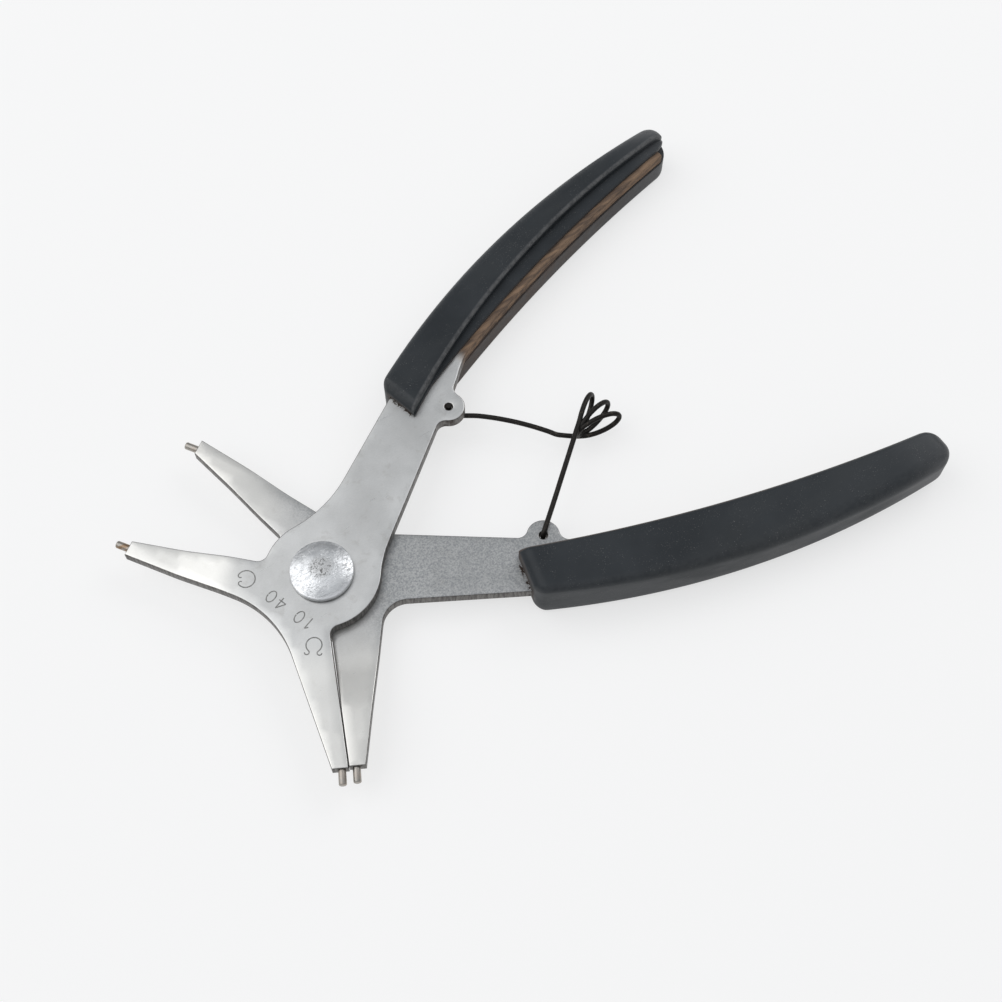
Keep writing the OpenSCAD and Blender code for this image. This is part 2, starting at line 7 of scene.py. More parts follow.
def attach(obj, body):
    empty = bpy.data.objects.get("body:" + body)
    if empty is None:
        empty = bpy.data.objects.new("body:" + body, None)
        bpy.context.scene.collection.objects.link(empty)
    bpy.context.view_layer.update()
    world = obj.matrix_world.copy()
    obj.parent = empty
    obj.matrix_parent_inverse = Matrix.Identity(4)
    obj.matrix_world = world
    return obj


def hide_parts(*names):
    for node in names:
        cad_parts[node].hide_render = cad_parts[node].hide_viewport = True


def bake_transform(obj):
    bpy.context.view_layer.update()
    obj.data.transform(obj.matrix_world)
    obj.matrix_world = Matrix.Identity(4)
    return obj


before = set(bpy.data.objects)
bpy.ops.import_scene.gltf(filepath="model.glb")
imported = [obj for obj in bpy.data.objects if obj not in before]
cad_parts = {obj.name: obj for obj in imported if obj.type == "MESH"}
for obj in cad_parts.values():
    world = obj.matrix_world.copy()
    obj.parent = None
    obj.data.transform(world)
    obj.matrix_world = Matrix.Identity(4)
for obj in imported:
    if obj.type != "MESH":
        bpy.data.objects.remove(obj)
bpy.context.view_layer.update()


# The two plates.
# Each is stamped from 2.5 mm sheet in one blow: hub, handle with a spring lug, hidden tang and two jaws.
# The jaws are pressed toward the middle plane, so all four lie level. Shearing rounds the upper rim.
MM = 0.001
PLATE_T, PLATE_GAP, GRIP_T = 2.5, 0.06, 11.0
MID_Z = GRIP_T / 2
UPPER_Z = MID_Z + PLATE_GAP / 2
LOWER_Z = MID_Z - PLATE_GAP / 2 - PLATE_T
JAW_Z = MID_Z - PLATE_T / 2
HUB_R, HUB_FILLET_R, SHOULDER_R = 11.4, 2.0, 25.0
FRONT_R, WAIST_R, CROTCH_R = 21.5, 30.0, 5.0
JAW_REACH, JAW_END_W, JAW_TAPER, STOUT_TAPER = 38.6, 3.1, 11.4, 14.0
UPPER_INTERNAL_A, LOWER_INTERNAL_A, EXTERNAL_A = 134.5, 101.1, -114.5
INTERNAL_PIN_A, EXTERNAL_PIN_A = 123.0, -119.0
JAW_SIDE_GAP = 0.05
BEND_START, BEND_RUN, BEND_R = 18.5, 9.0, 24.0
HANDLE_OUT_A, HANDLE_OUT_OFF, HANDLE_STRAIGHT = 30.6, 5.6, 37.0
HANDLE_IN_A, HANDLE_IN_OFF, TANG_IN_R = 36.4, 9.8, 136.0
LUG_AT, LUG_OUT, LUG_R, LUG_HOLE_R, LUG_FILLET_R, TANG_SET = 42.4, 0.7, 3.3, 0.8, 2.0, 0.35
FRONT_A, FRONT_D = 13.9, 36.7
GRIP_OUT_R, GRIP_LEN, GRIP_END_W, WEB_T, END_WEB = 178.4, 90.0, 8.0, 2.5, 3.0
GRIP_IN_R, GRIP_FRONT_W = 358.7, 9.6
RIVET_HOLE_R, ARC_SAG, TANG_BLEND = 3.04, 0.002, 0.14
RIM_LOW_R, RIM_HIGH_R, SHEARED_IN, SHEARED_ROWS = 0.14, 0.26, 0.1, 8
OUTLINE_STEP, HOLE_STEP, FACE_STEP, FACE_CLEAR = 0.9, 0.4, 1.5, 0.7


def ray(a):
    """Unit vector at plan angle a, in degrees."""
    return np.array([np.cos(np.radians(a)), np.sin(np.radians(a))])


def unit(v):
    """The vector v at length 1."""
    return v / np.linalg.norm(v)


def bearing(v):
    """Plan angle of the vector v, in degrees."""
    return np.degrees(np.arctan2(v[1], v[0]))


def crossing(p, d, q, e):
    """Where the line through p along d meets the line through q along e."""
    w = q - p
    return p + (w[0] * e[1] - w[1] * e[0]) / (d[0] * e[1] - d[1] * e[0]) * d


def circles_cross(p, pr, q, qr):
    """The crossing of two circles to the left of the way from centre p to centre q."""
    d = np.linalg.norm(q - p)
    u = (q - p) / d
    s = (d * d + pr * pr - qr * qr) / (2 * d)
    return p + s * u + np.sqrt(pr * pr - s * s) * np.array([-u[1], u[0]])


def sweep(c, p, q, way):
    """Points on the round about c from p to q: c + r (cos t, sin t), t running with way +1 or against it."""
    r, a = np.linalg.norm(p - c), bearing(p - c)
    span = (way * (bearing(q - c) - a)) % 360
    n = max(3, int(np.ceil(span / 2 / np.degrees(np.arccos(1 - ARC_SAG / r)))))
    t = np.radians(a + way * span * np.linspace(0, 1, n + 1))
    return c + r * np.stack([np.cos(t), np.sin(t)], 1)


def hollow(p, k, q, r):
    """The round of radius r in the hollow corner at k, from the way to p over to the way to q."""
    d, e = unit(p - k), unit(q - k)
    half = np.arccos(d @ e) / 2
    return sweep(k + r / np.sin(half) * unit(d + e), k + r / np.tan(half) * d, k + r / np.tan(half) * e, -1)


def foot_centre(c, cr, a, off, side, r, way):
    """Centre of the fillet between the round of radius cr about c and the edge at plan angle a."""
    along = np.sqrt((cr + r) ** 2 - (off + r) ** 2)
    return c + (off + r) * side * ray(a + 90) + way * along * ray(a)


def hub_foot(a, off, side, r):
    """Fillet from an edge at plan angle a onto the hub."""
    o = foot_centre(np.zeros(2), HUB_R, a, off, side, r, 1)
    return sweep(o, o - r * side * ray(a + 90), o - r * unit(o), -1)


def hub_foot_off(a, off, side, r):
    """Fillet from the hub onto an edge at plan angle a."""
    o = foot_centre(np.zeros(2), HUB_R, a, off, side, r, 1)
    return sweep(o, o - r * unit(o), o - r * side * ray(a + 90), -1)


def hub_round(s, t):
    """The hub's own round from fillet s to fillet t, without its end points."""
    return sweep(np.zeros(2), s[-1], t[0], 1)[1:-1]


def on_jaw(a, side, along, across):
    """Point at a distance along a jaw's ray at plan angle a, and across it to one side."""
    return along * ray(a) + side * across * ray(a + 90)


def outer_root(a, side, taper):
    """Where a jaw's outer edge, drawn on, passes the rivet: the end's width and the taper over the reach."""
    return on_jaw(a, side, 0, JAW_SIDE_GAP + JAW_END_W + JAW_REACH * np.tan(np.radians(taper)))


def outer_tip(a, side):
    """Outer corner of a jaw's end, if it were square to the jaw."""
    return on_jaw(a, side, JAW_REACH, JAW_SIDE_GAP + JAW_END_W)


def outer_way(a, side, taper):
    """Vector along a jaw's outer edge, from root to tip."""
    return outer_tip(a, side) - outer_root(a, side, taper)


def end_grip(a, side, pin_a):
    """Corner of a jaw's end on its gripping side; the end is square to the pin."""
    return on_jaw(a, side, JAW_REACH + JAW_END_W / 2 * np.tan(np.radians(side * (pin_a - a))), JAW_SIDE_GAP)


def end_back(a, side, taper, pin_a):
    """Corner of a jaw's end on its outer edge: that edge crossed by the line square to the pin."""
    return crossing(outer_root(a, side, taper), outer_way(a, side, taper), end_grip(a, side, pin_a), ray(pin_a + 90))


def flip(p):
    """Plan points mirrored over the X axis, from one half of the tool to the other."""
    return p * np.array([1, -1])


out_u, in_u = ray(HANDLE_OUT_A), ray(HANDLE_IN_A)
out_n, in_n = ray(HANDLE_OUT_A + 90), ray(HANDLE_IN_A - 90)
tang_out = HANDLE_STRAIGHT * out_u + HANDLE_OUT_OFF * out_n
tang_in = LUG_AT * in_u + HANDLE_IN_OFF * in_n
tang_out_r = GRIP_OUT_R - WEB_T
out_c = tang_out - tang_out_r * out_n
in_c = tang_in + TANG_IN_R * in_n
lug_c = tang_in + LUG_OUT * in_n
grip_a0 = 90 + HANDLE_OUT_A
grip_a1 = grip_a0 - np.degrees(GRIP_LEN / GRIP_OUT_R)
tang_a1 = grip_a1 - np.degrees((GRIP_END_W / 2 - END_WEB) / GRIP_OUT_R)

lug_o = foot_centre(lug_c, LUG_R, HANDLE_IN_A, -LUG_OUT, -1, LUG_FILLET_R, -1)
lug_front = sweep(lug_o, lug_o + LUG_FILLET_R * ray(HANDLE_IN_A + 90), lug_o + LUG_FILLET_R * unit(lug_c - lug_o), -1)
lug_p = circles_cross(lug_c, LUG_R + LUG_FILLET_R, in_c, TANG_IN_R - LUG_FILLET_R)
lug_back = sweep(lug_p, lug_p + LUG_FILLET_R * unit(lug_c - lug_p), lug_p + LUG_FILLET_R * unit(lug_p - in_c), -1)
tang_to = in_c - out_c
grip_end = out_c + (GRIP_OUT_R - GRIP_END_W / 2) * ray(grip_a1)
grip_front = out_c + (GRIP_OUT_R - GRIP_FRONT_W) * ray(grip_a0)
lip_c = circles_cross(grip_end, GRIP_IN_R + GRIP_END_W / 2, grip_front, GRIP_IN_R)


def grip_width(a):
    """Width at polar angle a: from the outer round to the inner one along the ray from the outer centre."""
    d = lip_c - out_c
    b = np.cos(np.radians(a)) * d[0] + np.sin(np.radians(a)) * d[1]
    return GRIP_OUT_R - b - np.sqrt(b * b - d @ d + GRIP_IN_R**2)


def tang_depth(a):
    """Depth of the tang's inner edge under the grip's outer round, along the ray at polar angle a."""
    b = np.cos(np.radians(a)) * tang_to[0] + np.sin(np.radians(a)) * tang_to[1]
    return GRIP_OUT_R - b - np.sqrt(b * b - tang_to @ tang_to + TANG_IN_R**2)


# The tang's inner edge leaves the lug on its own round and then follows the lip's inner edge.
run = np.linspace(0, 1, 141)[1:]
inner_a = bearing(lug_back[-1] - out_c) * (1 - run) + tang_a1 * run
near = np.minimum(run / TANG_BLEND, 1)
follow = near**2 * (3 - 2 * near)
inner_r = GRIP_OUT_R - tang_depth(inner_a) * (1 - follow) - (grip_width(inner_a) - TANG_SET) * follow
tang_inner = out_c + inner_r[:, None] * np.stack([np.cos(np.radians(inner_a)), np.sin(np.radians(inner_a))], 1)
tang_edge = np.concatenate([
    lug_front, sweep(lug_c, lug_front[-1], lug_back[0], 1)[1:-1], lug_back,
    tang_inner, sweep(out_c, out_c + tang_out_r * ray(tang_a1), tang_out, 1)])

upper_front = crossing(outer_root(UPPER_INTERNAL_A, 1, JAW_TAPER), outer_way(UPPER_INTERNAL_A, 1, JAW_TAPER),
                       outer_root(EXTERNAL_A, -1, JAW_TAPER), outer_way(EXTERNAL_A, -1, JAW_TAPER))
lower_waist = crossing(outer_root(LOWER_INTERNAL_A, -1, JAW_TAPER), outer_way(LOWER_INTERNAL_A, -1, JAW_TAPER),
                       flip(tang_in), flip(in_u))
lower_crotch = crossing(outer_root(EXTERNAL_A, 1, STOUT_TAPER), outer_way(EXTERNAL_A, 1, STOUT_TAPER),
                        flip(tang_out), flip(out_u))
front = hollow(outer_tip(UPPER_INTERNAL_A, 1), upper_front, outer_tip(EXTERNAL_A, -1), FRONT_R)
crotch = hollow(outer_tip(EXTERNAL_A, 1), lower_crotch, flip(tang_out), CROTCH_R)
waist = hollow(flip(tang_in), lower_waist, outer_tip(LOWER_INTERNAL_A, -1), WAIST_R)

out_foot = hub_foot(HANDLE_OUT_A, HANDLE_OUT_OFF, 1, SHOULDER_R)
in_foot = hub_foot_off(HANDLE_IN_A, HANDLE_IN_OFF, -1, SHOULDER_R)
jaw_off = hub_foot_off(UPPER_INTERNAL_A, -JAW_SIDE_GAP, -1, HUB_FILLET_R)
jaw_on = hub_foot(EXTERNAL_A, -JAW_SIDE_GAP, 1, HUB_FILLET_R)
upper_plan = np.concatenate([
    tang_edge, out_foot, hub_round(out_foot, jaw_off), jaw_off,
    [end_grip(UPPER_INTERNAL_A, 1, INTERNAL_PIN_A), end_back(UPPER_INTERNAL_A, 1, JAW_TAPER, INTERNAL_PIN_A)], front,
    [end_back(EXTERNAL_A, -1, JAW_TAPER, EXTERNAL_PIN_A), end_grip(EXTERNAL_A, -1, EXTERNAL_PIN_A)],
    jaw_on, hub_round(jaw_on, in_foot), in_foot])
jaw_on = hub_foot(LOWER_INTERNAL_A, -JAW_SIDE_GAP, 1, HUB_FILLET_R)
jaw_off = hub_foot_off(EXTERNAL_A, -JAW_SIDE_GAP, -1, HUB_FILLET_R)
lower_plan = np.concatenate([
    crotch, flip(tang_edge)[::-1], waist,
    [end_back(LOWER_INTERNAL_A, -1, JAW_TAPER, INTERNAL_PIN_A), end_grip(LOWER_INTERNAL_A, -1, INTERNAL_PIN_A)],
    jaw_on, hub_round(jaw_on, jaw_off), jaw_off,
    [end_grip(EXTERNAL_A, 1, EXTERNAL_PIN_A), end_back(EXTERNAL_A, 1, STOUT_TAPER, EXTERNAL_PIN_A)]])


def bend(along):
    """Share of a jaw's drop at a distance along it: the slope ramps up, holds and ramps down, so the
    drop is its integral, a parabola, a line and a parabola."""
    t = BEND_R * np.tan(np.arctan((UPPER_Z - JAW_Z) / BEND_RUN) / 2)

    def ramp(x):
        """0 up to the bend, a parabola through it and a line after it."""
        x = np.clip(x + t, 0, None)
        return np.where(x < 2 * t, x * x / (4 * t), x - t)

    return (ramp(along - BEND_START) - ramp(along - BEND_START - BEND_RUN)) / BEND_RUN


def sheet_z(xy, level, jaws):
    """Height of a plate's lower face at plan points: its level, less the drop of whichever jaw they lie on."""
    return level + (JAW_Z - level) * sum(bend(xy @ ray(a)) for a in jaws)


def stepped(path, step):
    """A closed path with points added so that no stretch is longer than step."""
    ends = np.roll(path, -1, 0)
    counts = np.maximum(1, np.ceil(np.linalg.norm(ends - path, axis=1) / step).astype(int))
    t = np.concatenate([np.arange(n) / n for n in counts])[:, None]
    return np.repeat(path, counts, 0) * (1 - t) + np.repeat(ends, counts, 0) * t


def inset_way(path):
    """For each point of a closed path, the vector that moves it so both its stretches shift left by one unit."""
    d = np.roll(path, -1, 0) - path
    d = d / np.linalg.norm(d, axis=1, keepdims=True)
    n = np.stack([-d[:, 1], d[:, 0]], 1)
    m = np.roll(n, 1, 0)
    return (n + m) / (1 + np.sum(n * m, 1, keepdims=True))


def inside(points, loop):
    """Which plan points lie inside a closed loop, by counting the stretches that a ray to +X crosses."""
    a, b = loop, np.roll(loop, -1, 0)
    above = (a[None, :, 1] > points[:, None, 1]) != (b[None, :, 1] > points[:, None, 1])
    rise = np.where(b[:, 1] == a[:, 1], 1, b[:, 1] - a[:, 1])
    x = a[:, 0] + (points[:, None, 1] - a[:, 1]) / rise * (b[:, 0] - a[:, 0])
    return np.sum(above & (x > points[:, None, 0]), 1) % 2 == 1


def rim_profile(low_r, high_r, t, n=4):
    """The section of a plate's rim as [inset, height]: a rounded lower edge, the wall, a rounded upper edge."""
    q = np.radians(np.linspace(0, 90, n + 1))
    low = np.stack([low_r * (1 - np.sin(q)), low_r * (1 - np.cos(q))], 1)
    high = np.stack([high_r * (1 - np.cos(q)), t - high_r * (1 - np.sin(q))], 1)
    return np.concatenate([low, high])


def make_object(name, verts, faces, smooth=True, angle=35):
    """A mesh object at the origin from points in millimetres, shaded smooth up to an angle between faces."""
    mesh = bpy.data.meshes.new(name)
    mesh.from_pydata((np.asarray(verts) * MM).tolist(), [], [list(map(int, f)) for f in faces])
    mesh.validate()
    mesh.update()
    obj = bpy.data.objects.new(name, mesh)
    bpy.context.scene.collection.objects.link(obj)
    if smooth:
        mesh.shade_smooth()
        mesh.set_sharp_from_angle(angle=np.radians(angle))
    return obj


def store(obj, name, values):
    """Gives each point of a mesh a value, for its material to read."""
    obj.data.attributes.new(name, "FLOAT", "POINT").data.foreach_set("value", np.asarray(values, np.float32))


def grid_faces(rows, cols, wrap, first=0):
    """Quads of a grid of rows by cols points, closed round the columns if wrap is true."""
    i, j = np.meshgrid(np.arange(rows - 1), np.arange(cols if wrap else cols - 1), indexing="ij")
    k = (j + 1) % cols
    quads = np.stack([i * cols + j, i * cols + k, (i + 1) * cols + k, (i + 1) * cols + j], -1)
    return first + quads.reshape(-1, 4)


def plate(name, plan, holes, level, jaws):
    """A stamped plate: the rim profile carried round the outline and round each hole, and two faces filled
    between the innermost rims, all lifted onto the bent sheet."""
    profile = rim_profile(RIM_LOW_R, RIM_HIGH_R, PLATE_T)
    loops = [stepped(plan, OUTLINE_STEP)] + [stepped(h, HOLE_STEP) for h in holes]
    verts, walls, faces, low, high = [], [], [], [], []
    for loop in loops:
        m, first, way = len(loop), sum(len(v) for v in verts), inset_way(loop)
        rings = loop[None] + profile[:, None, :1] * way[None]
        z = sheet_z(rings.reshape(-1, 2), level, jaws).reshape(rings.shape[:2]) + profile[:, 1:]
        verts.append(np.concatenate([rings, z[..., None]], -1).reshape(-1, 3))
        walls.append(np.repeat((profile[:, 0] < SHEARED_IN) & (np.arange(len(profile)) < SHEARED_ROWS), m))
        faces += grid_faces(len(profile), m, True, first).tolist()
        low.append(first + np.arange(m))
        high.append(first + (len(profile) - 1) * m + np.arange(m))
    flat = np.concatenate(verts)
    box = np.stack([plan.min(0), plan.max(0)])
    gx, gy = np.meshgrid(*(np.arange(box[0, k], box[1, k], FACE_STEP) for k in (0, 1)))
    odd = np.round((gy.ravel() - box[0, 1]) / FACE_STEP) % 2
    inner = np.stack([gx.ravel() + FACE_STEP / 2 * odd, gy.ravel()], 1)
    edge = np.concatenate([flat[h][:, :2] for h in high])
    inner = inner[inside(inner, loops[0])]
    for loop in loops[1:]:
        inner = inner[~inside(inner, loop)]
    inner = inner[np.min(np.linalg.norm(inner[:, None] - edge[None], axis=2), 1) > FACE_CLEAR]
    z = sheet_z(inner, level, jaws)
    first = len(flat)
    flat = np.concatenate([flat, np.c_[inner, z], np.c_[inner, z + PLATE_T]])
    top_ids = np.concatenate(high + [first + len(inner) + np.arange(len(inner))])
    low_ids = np.concatenate(low + [first + np.arange(len(inner))])
    links, start = [], 0
    for h in high:
        links += [(start + i, start + (i + 1) % len(h)) for i in range(len(h))]
        start += len(h)
    found = delaunay_2d_cdt([Vector(p) for p in flat[top_ids][:, :2]], links, [], 4, 1e-6)
    source = np.array([o[0] if o else -1 for o in found[3]])
    tris = source[np.array([f for f in found[2] if len(f) == 3])]
    tris = tris[(tris >= 0).all(1)]
    p = flat[top_ids][:, :2][tris]
    d, e = p[:, 1] - p[:, 0], p[:, 2] - p[:, 0]
    turn = d[:, 0] * e[:, 1] - d[:, 1] * e[:, 0]
    tris[turn < 0] = tris[turn < 0][:, ::-1]
    middle = p.mean(1)
    metal = inside(middle, loops[0])
    for rim in high[1:]:
        metal &= ~inside(middle, flat[rim][:, :2])
    tris = tris[metal]
    faces += top_ids[tris].tolist() + low_ids[tris][:, ::-1].tolist()
    obj = make_object(name, flat, faces)
    upper_side = np.stack([flat[:, 0], np.abs(flat[:, 1])], 1)
    store(obj, "cut_edge", np.concatenate([*walls, np.zeros(2 * len(inner))]))
    store(obj, "past_grip_front", upper_side @ ray(FRONT_A) - FRONT_D)
    store(obj, "under_grip_back", GRIP_OUT_R - np.linalg.norm(upper_side - out_c, axis=1))
    return obj


def round_hole(c, r):
    """A hole's outline, clockwise, so that the metal lies to its left."""
    t = -np.linspace(0, 2 * np.pi, 49)[:-1]
    return c + r * np.stack([np.cos(t), np.sin(t)], 1)


class Wire:
    """An output socket in a material's node tree. Arithmetic on it adds Math nodes."""

    def __init__(self, tree, socket=None):
        self.tree, self.socket = tree, socket

    def node(self, kind, settings=None, inputs=None, out=0):
        """Adds a node, sets its settings, then its sockets by name or number."""
        made = self.tree.nodes.new(kind)
        for key, value in (settings or {}).items():
            setattr(made, key, value)
        for key, value in (inputs or {}).items():
            if isinstance(value, Wire):
                self.tree.links.new(value.socket, made.inputs[key])
            else:
                made.inputs[key].default_value = value
        return Wire(self.tree, made.outputs[out] if made.outputs else None)

    def math(self, kind, a, b):
        """A Math node of one kind on two values or links."""
        return self.node("ShaderNodeMath", {"operation": kind}, {0: a, 1: b})

    def __add__(self, other):
        return self.math("ADD", self, other)

    __radd__ = __add__

    def __sub__(self, other):
        return self.math("SUBTRACT", self, other)

    def __rsub__(self, other):
        return self.math("SUBTRACT", other, self)

    def __mul__(self, other):
        return self.math("MULTIPLY", self, other)

    __rmul__ = __mul__

    def capped(self):
        """This, but no more than 1."""
        return self.math("MINIMUM", self, 1)

    def between(self, low, high):
        """0 below low, 1 above high and smooth between."""
        return self.node("ShaderNodeMapRange", {"interpolation_type": "SMOOTHSTEP"},
                         {"Value": self, "From Min": low, "From Max": high})

    def mix(self, a, b):
        """Colour a where this is 0, colour b where it is 1."""
        return self.node("ShaderNodeMix", {"data_type": "RGBA"}, {0: self, 6: a, 7: b}, 2)


def noise(coords, scale, detail=3.0, rough=0.55):
    """Cloudy noise, about 0 to 1, with scale cells to the metre."""
    return coords.node("ShaderNodeTexNoise", None,
                       {"Vector": coords, "Scale": scale, "Detail": detail, "Roughness": rough})


def turned(coords, angle, stretch):
    """The coordinates turned about Z and stretched, for marks that run one way."""
    return coords.node("ShaderNodeMapping", None,
                       {"Vector": coords, "Rotation": (0, 0, np.radians(angle)), "Scale": stretch})


def scratches(coords, angle, scale, keep):
    """Thin lines along one direction: a long noise, kept only in a narrow band of its values."""
    n = noise(turned(coords, angle, (0.03, 1, 1)), scale, 2.0)
    near = n.math("ABSOLUTE", n - 0.5, 0)
    return 1 - near.between(0.0, keep)


def finish(name, settings, wires):
    """A material with one Principled shader: settings are plain values, wires gives its varying sockets."""
    material = bpy.data.materials.new(name)
    material.use_nodes = True
    tree = material.node_tree
    shader = tree.nodes["Principled BSDF"]
    for key, value in settings.items():
        shader.inputs[key].default_value = value
    coords = Wire(tree, tree.nodes.new("ShaderNodeTexCoord").outputs["Object"])
    for key, wire in wires(coords).items():
        tree.links.new(wire.socket, shader.inputs[key])
    return material


def stored(coords, name):
    """The value that store gave each point, read across the faces."""
    return coords.node("ShaderNodeAttribute", {"attribute_name": name}, None, 2)


def from_rivet(coords):
    """Distance from the rivet's axis: the length of the coordinates with Z left out."""
    return coords.node("ShaderNodeVectorMath", {"operation": "LENGTH"}, {0: turned(coords, 0, (1, 1, 0))}, 1)


def along_axis(coords, axis):
    """One coordinate: 0 for X, 1 for Y, 2 for Z."""
    return coords.node("ShaderNodeSeparateXYZ", None, {0: coords}, axis)


STAIN, TARNISH, JAW_GLINT = (0.40, 0.38, 0.35, 1), (0.18, 0.195, 0.21, 1), (0.90, 0.88, 0.83, 1)
SHEARED_SHADED_DARK, SHEARED_SHADED_LIGHT = (0.10, 0.095, 0.09, 1), (0.24, 0.23, 0.22, 1)
GRIME_BROWN, RUST_DARK, RUST_LIGHT = (0.035, 0.022, 0.015, 1), (0.10, 0.068, 0.050, 1), (0.31, 0.20, 0.125, 1)


def satin_steel(angle, light, dark, tarnished):
    """Steel rolled along a plan angle: cloudy, scratched and stained, tarnished behind the hub where asked, lighter
    on the jaws as a painted highlight, dark on the sheared rim, partly rough sheared steel and partly painted shade,
    grimy at the grip's front and rusted inside the grip."""
    def wires(p):
        cut, past, under = stored(p, "cut_edge"), stored(p, "past_grip_front"), stored(p, "under_grip_back")
        grain = noise(turned(p, angle, (0.25, 1, 1)), 9000, 4.0)
        cloud = noise(p, 90, 3.0)
        fine = scratches(p, angle + 12, 700, 0.012) + scratches(p, angle - 41, 420, 0.01)
        stain = noise(p, 420, 5.0, 0.65).between(0.56, 0.7)
        mottle = noise(p, 3200, 4.0, 0.65).between(0.36, 0.64)
        colour = (cloud * 0.7 + grain * 0.3).between(0.3, 0.7).mix((*dark, 1), (*light, 1))
        colour = (stain * 0.25).mix(colour, STAIN)
        dull = along_axis(p, 0).between(-0.004, 0.010) * tarnished
        colour = (dull * (0.29 + mottle * 0.42)).mix(colour, TARNISH)
        # Painted highlight: the jaws' colour is lightened toward their tips for the brighter reflection their bent
        # steel catches.
        jaw_glint = from_rivet(p).between(0.013, 0.021) * (1 - along_axis(p, 0).between(-0.002, 0.004))
        colour = (jaw_glint * 0.5).mix(colour, JAW_GLINT)
        # The sheared rim is darkened: partly for its rough sheared steel, partly as painted shade for the shadowed
        # table it faces.
        sheared = noise(turned(p, angle, (1, 1, 0.12)), 2600, 3.0).between(0.3, 0.7)
        colour = cut.mix(colour, sheared.mix(SHEARED_SHADED_DARK, SHEARED_SHADED_LIGHT))
        tang = past.between(15.0, 18.5) * noise(p, 260, 4.0).between(0.1, 0.3)
        front = past.between(-0.6, -0.2) * (1 - past.between(0.3, 0.9)) * (1 - under.between(8.3, 8.8))
        front = front * noise(p, 1300, 4.0).between(0.50, 0.56)
        by_lug = cut * past.between(2.0, 5.0) * (1 - past.between(9.0, 12.0))
        by_lug = by_lug * noise(p, 500, 4.0).between(0.42, 0.6) * 0.8
        rust = (tang + front + by_lug).capped()
        streak = noise(turned(p, -0.73 * angle, (0.12, 1, 1)), 1100, 4.0, 0.6).between(0.3, 0.7)
        brown = past.between(2.0, 12.0).mix(GRIME_BROWN, streak.mix(RUST_DARK, RUST_LIGHT))
        colour = rust.mix(colour, brown)
        rough = 0.27 + cloud * 0.1 + grain * 0.08 + cut * 0.12 + dull * mottle * 0.12 + rust * 0.35 - fine * 0.05
        height = grain * 0.6 - fine * 0.5 + cut * sheared * 2 + rust + dull * mottle
        bump = p.node("ShaderNodeBump", None, {"Strength": 0.22, "Distance": 0.00002, "Height": height})
        return {"Base Color": colour, "Roughness": rough, "Metallic": 1 - rust * 0.9, "Normal": bump}

    return wires


lower_steel = finish("lower_plate_steel", {}, satin_steel(-33, (0.66, 0.655, 0.64), (0.52, 0.515, 0.50), 1.0))
upper_steel = finish("upper_plate_steel", {}, satin_steel(33, (0.71, 0.71, 0.70), (0.57, 0.57, 0.56), 0.0))

rivet_hole, upper_jaws = round_hole(np.zeros(2), RIVET_HOLE_R), [UPPER_INTERNAL_A, EXTERNAL_A]
lower_plate = plate("stamped_lower_plate", lower_plan, [rivet_hole, round_hole(flip(lug_c), LUG_HOLE_R)],
                    LOWER_Z, [LOWER_INTERNAL_A, EXTERNAL_A])
upper_plate = plate("stamped_upper_plate", upper_plan, [rivet_hole, round_hole(lug_c, LUG_HOLE_R)],
                    UPPER_Z, upper_jaws)
for piece, body, steel in ((lower_plate, "lower_half", lower_steel), (upper_plate, "upper_half", upper_steel)):
    piece.data.materials.append(steel)
    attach(piece, body)
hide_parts("lower_plate")
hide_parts("upper_plate")


# The stamped marks.
# Struck into the upper plate's face before it is pressed: an inner and an outer ring sign, each by the jaw that
# serves it, and the ring sizes that the tool takes. Each stroke is a narrow line, painted shade for its groove.
MARK_W, MARK_UP, MARK_DOWN, MARK_STAGGER = 0.23, 0.012, 0.06, 0.001
DIGIT_H, DIGIT_A = 2.5, 108.7
INNER_SIGN, INNER_SIGN_R, INNER_SIGN_A, INNER_CURL = (-12.73, 7.09), 1.75, 150.9, 0.42
OUTER_SIGN, OUTER_SIGN_R, OUTER_SIGN_A, OUTER_CURL = (-9.02, -11.81), 1.5, -127.4, -0.45
SIGN_GAP_A, INNER_CURL_TURN, OUTER_CURL_TURN = 38, 160, 230
DIGITS = (("1", (-7.6, -7.5)), ("0", (-8.35, -5.4)), ("4", (-9.86, -1.15)), ("0", (-10.58, 1.2)))
GROOVE_SHADE_DARK, GROOVE_SHADE_LIGHT = (0.16, 0.16, 0.155, 1), (0.34, 0.335, 0.32, 1)


def ring_sign(r, curl):
    """An open ring, gap toward +X: r (cos t, sin t), its ends curled in a small round, inward or outward."""
    def about(c, radius, t):
        """Points on the round about c at the angles t."""
        return np.array(c) + radius * np.stack([np.cos(np.radians(t)), np.sin(np.radians(t))], 1)

    last_a = 360 - SIGN_GAP_A
    turn = np.linspace(0, INNER_CURL_TURN if curl > 0 else OUTER_CURL_TURN, 14)[1:]
    hook = about((r - curl) * ray(last_a), abs(curl), last_a + turn if curl > 0 else last_a - 180 - turn)
    return np.concatenate([flip(hook)[::-1], about((0, 0), r, np.linspace(SIGN_GAP_A, last_a, 60)), hook])


def digit(name):
    """Strokes of a digit, one unit tall and centred."""
    t = np.radians(np.linspace(0, 354, 48))
    strokes = {"0": [np.stack([0.31 * np.cos(t), 0.5 * np.sin(t)], 1)],
               "1": [np.array([[-0.2, 0.26], [0.0, 0.5]]), np.array([[0.0, 0.5], [0.0, -0.5]])],
               "4": [np.array([[0.14, 0.5], [-0.32, -0.2]]), np.array([[-0.32, -0.2], [0.34, -0.2]]),
                     np.array([[0.14, 0.5], [0.14, -0.5]])]}
    return strokes[name]


def placed(path, at, angle, size):
    """A path turned to a plan angle, sized and moved to its place on the plate."""
    return np.array(at) + size * (path[:, :1] * ray(angle) + path[:, 1:] * ray(angle + 90))


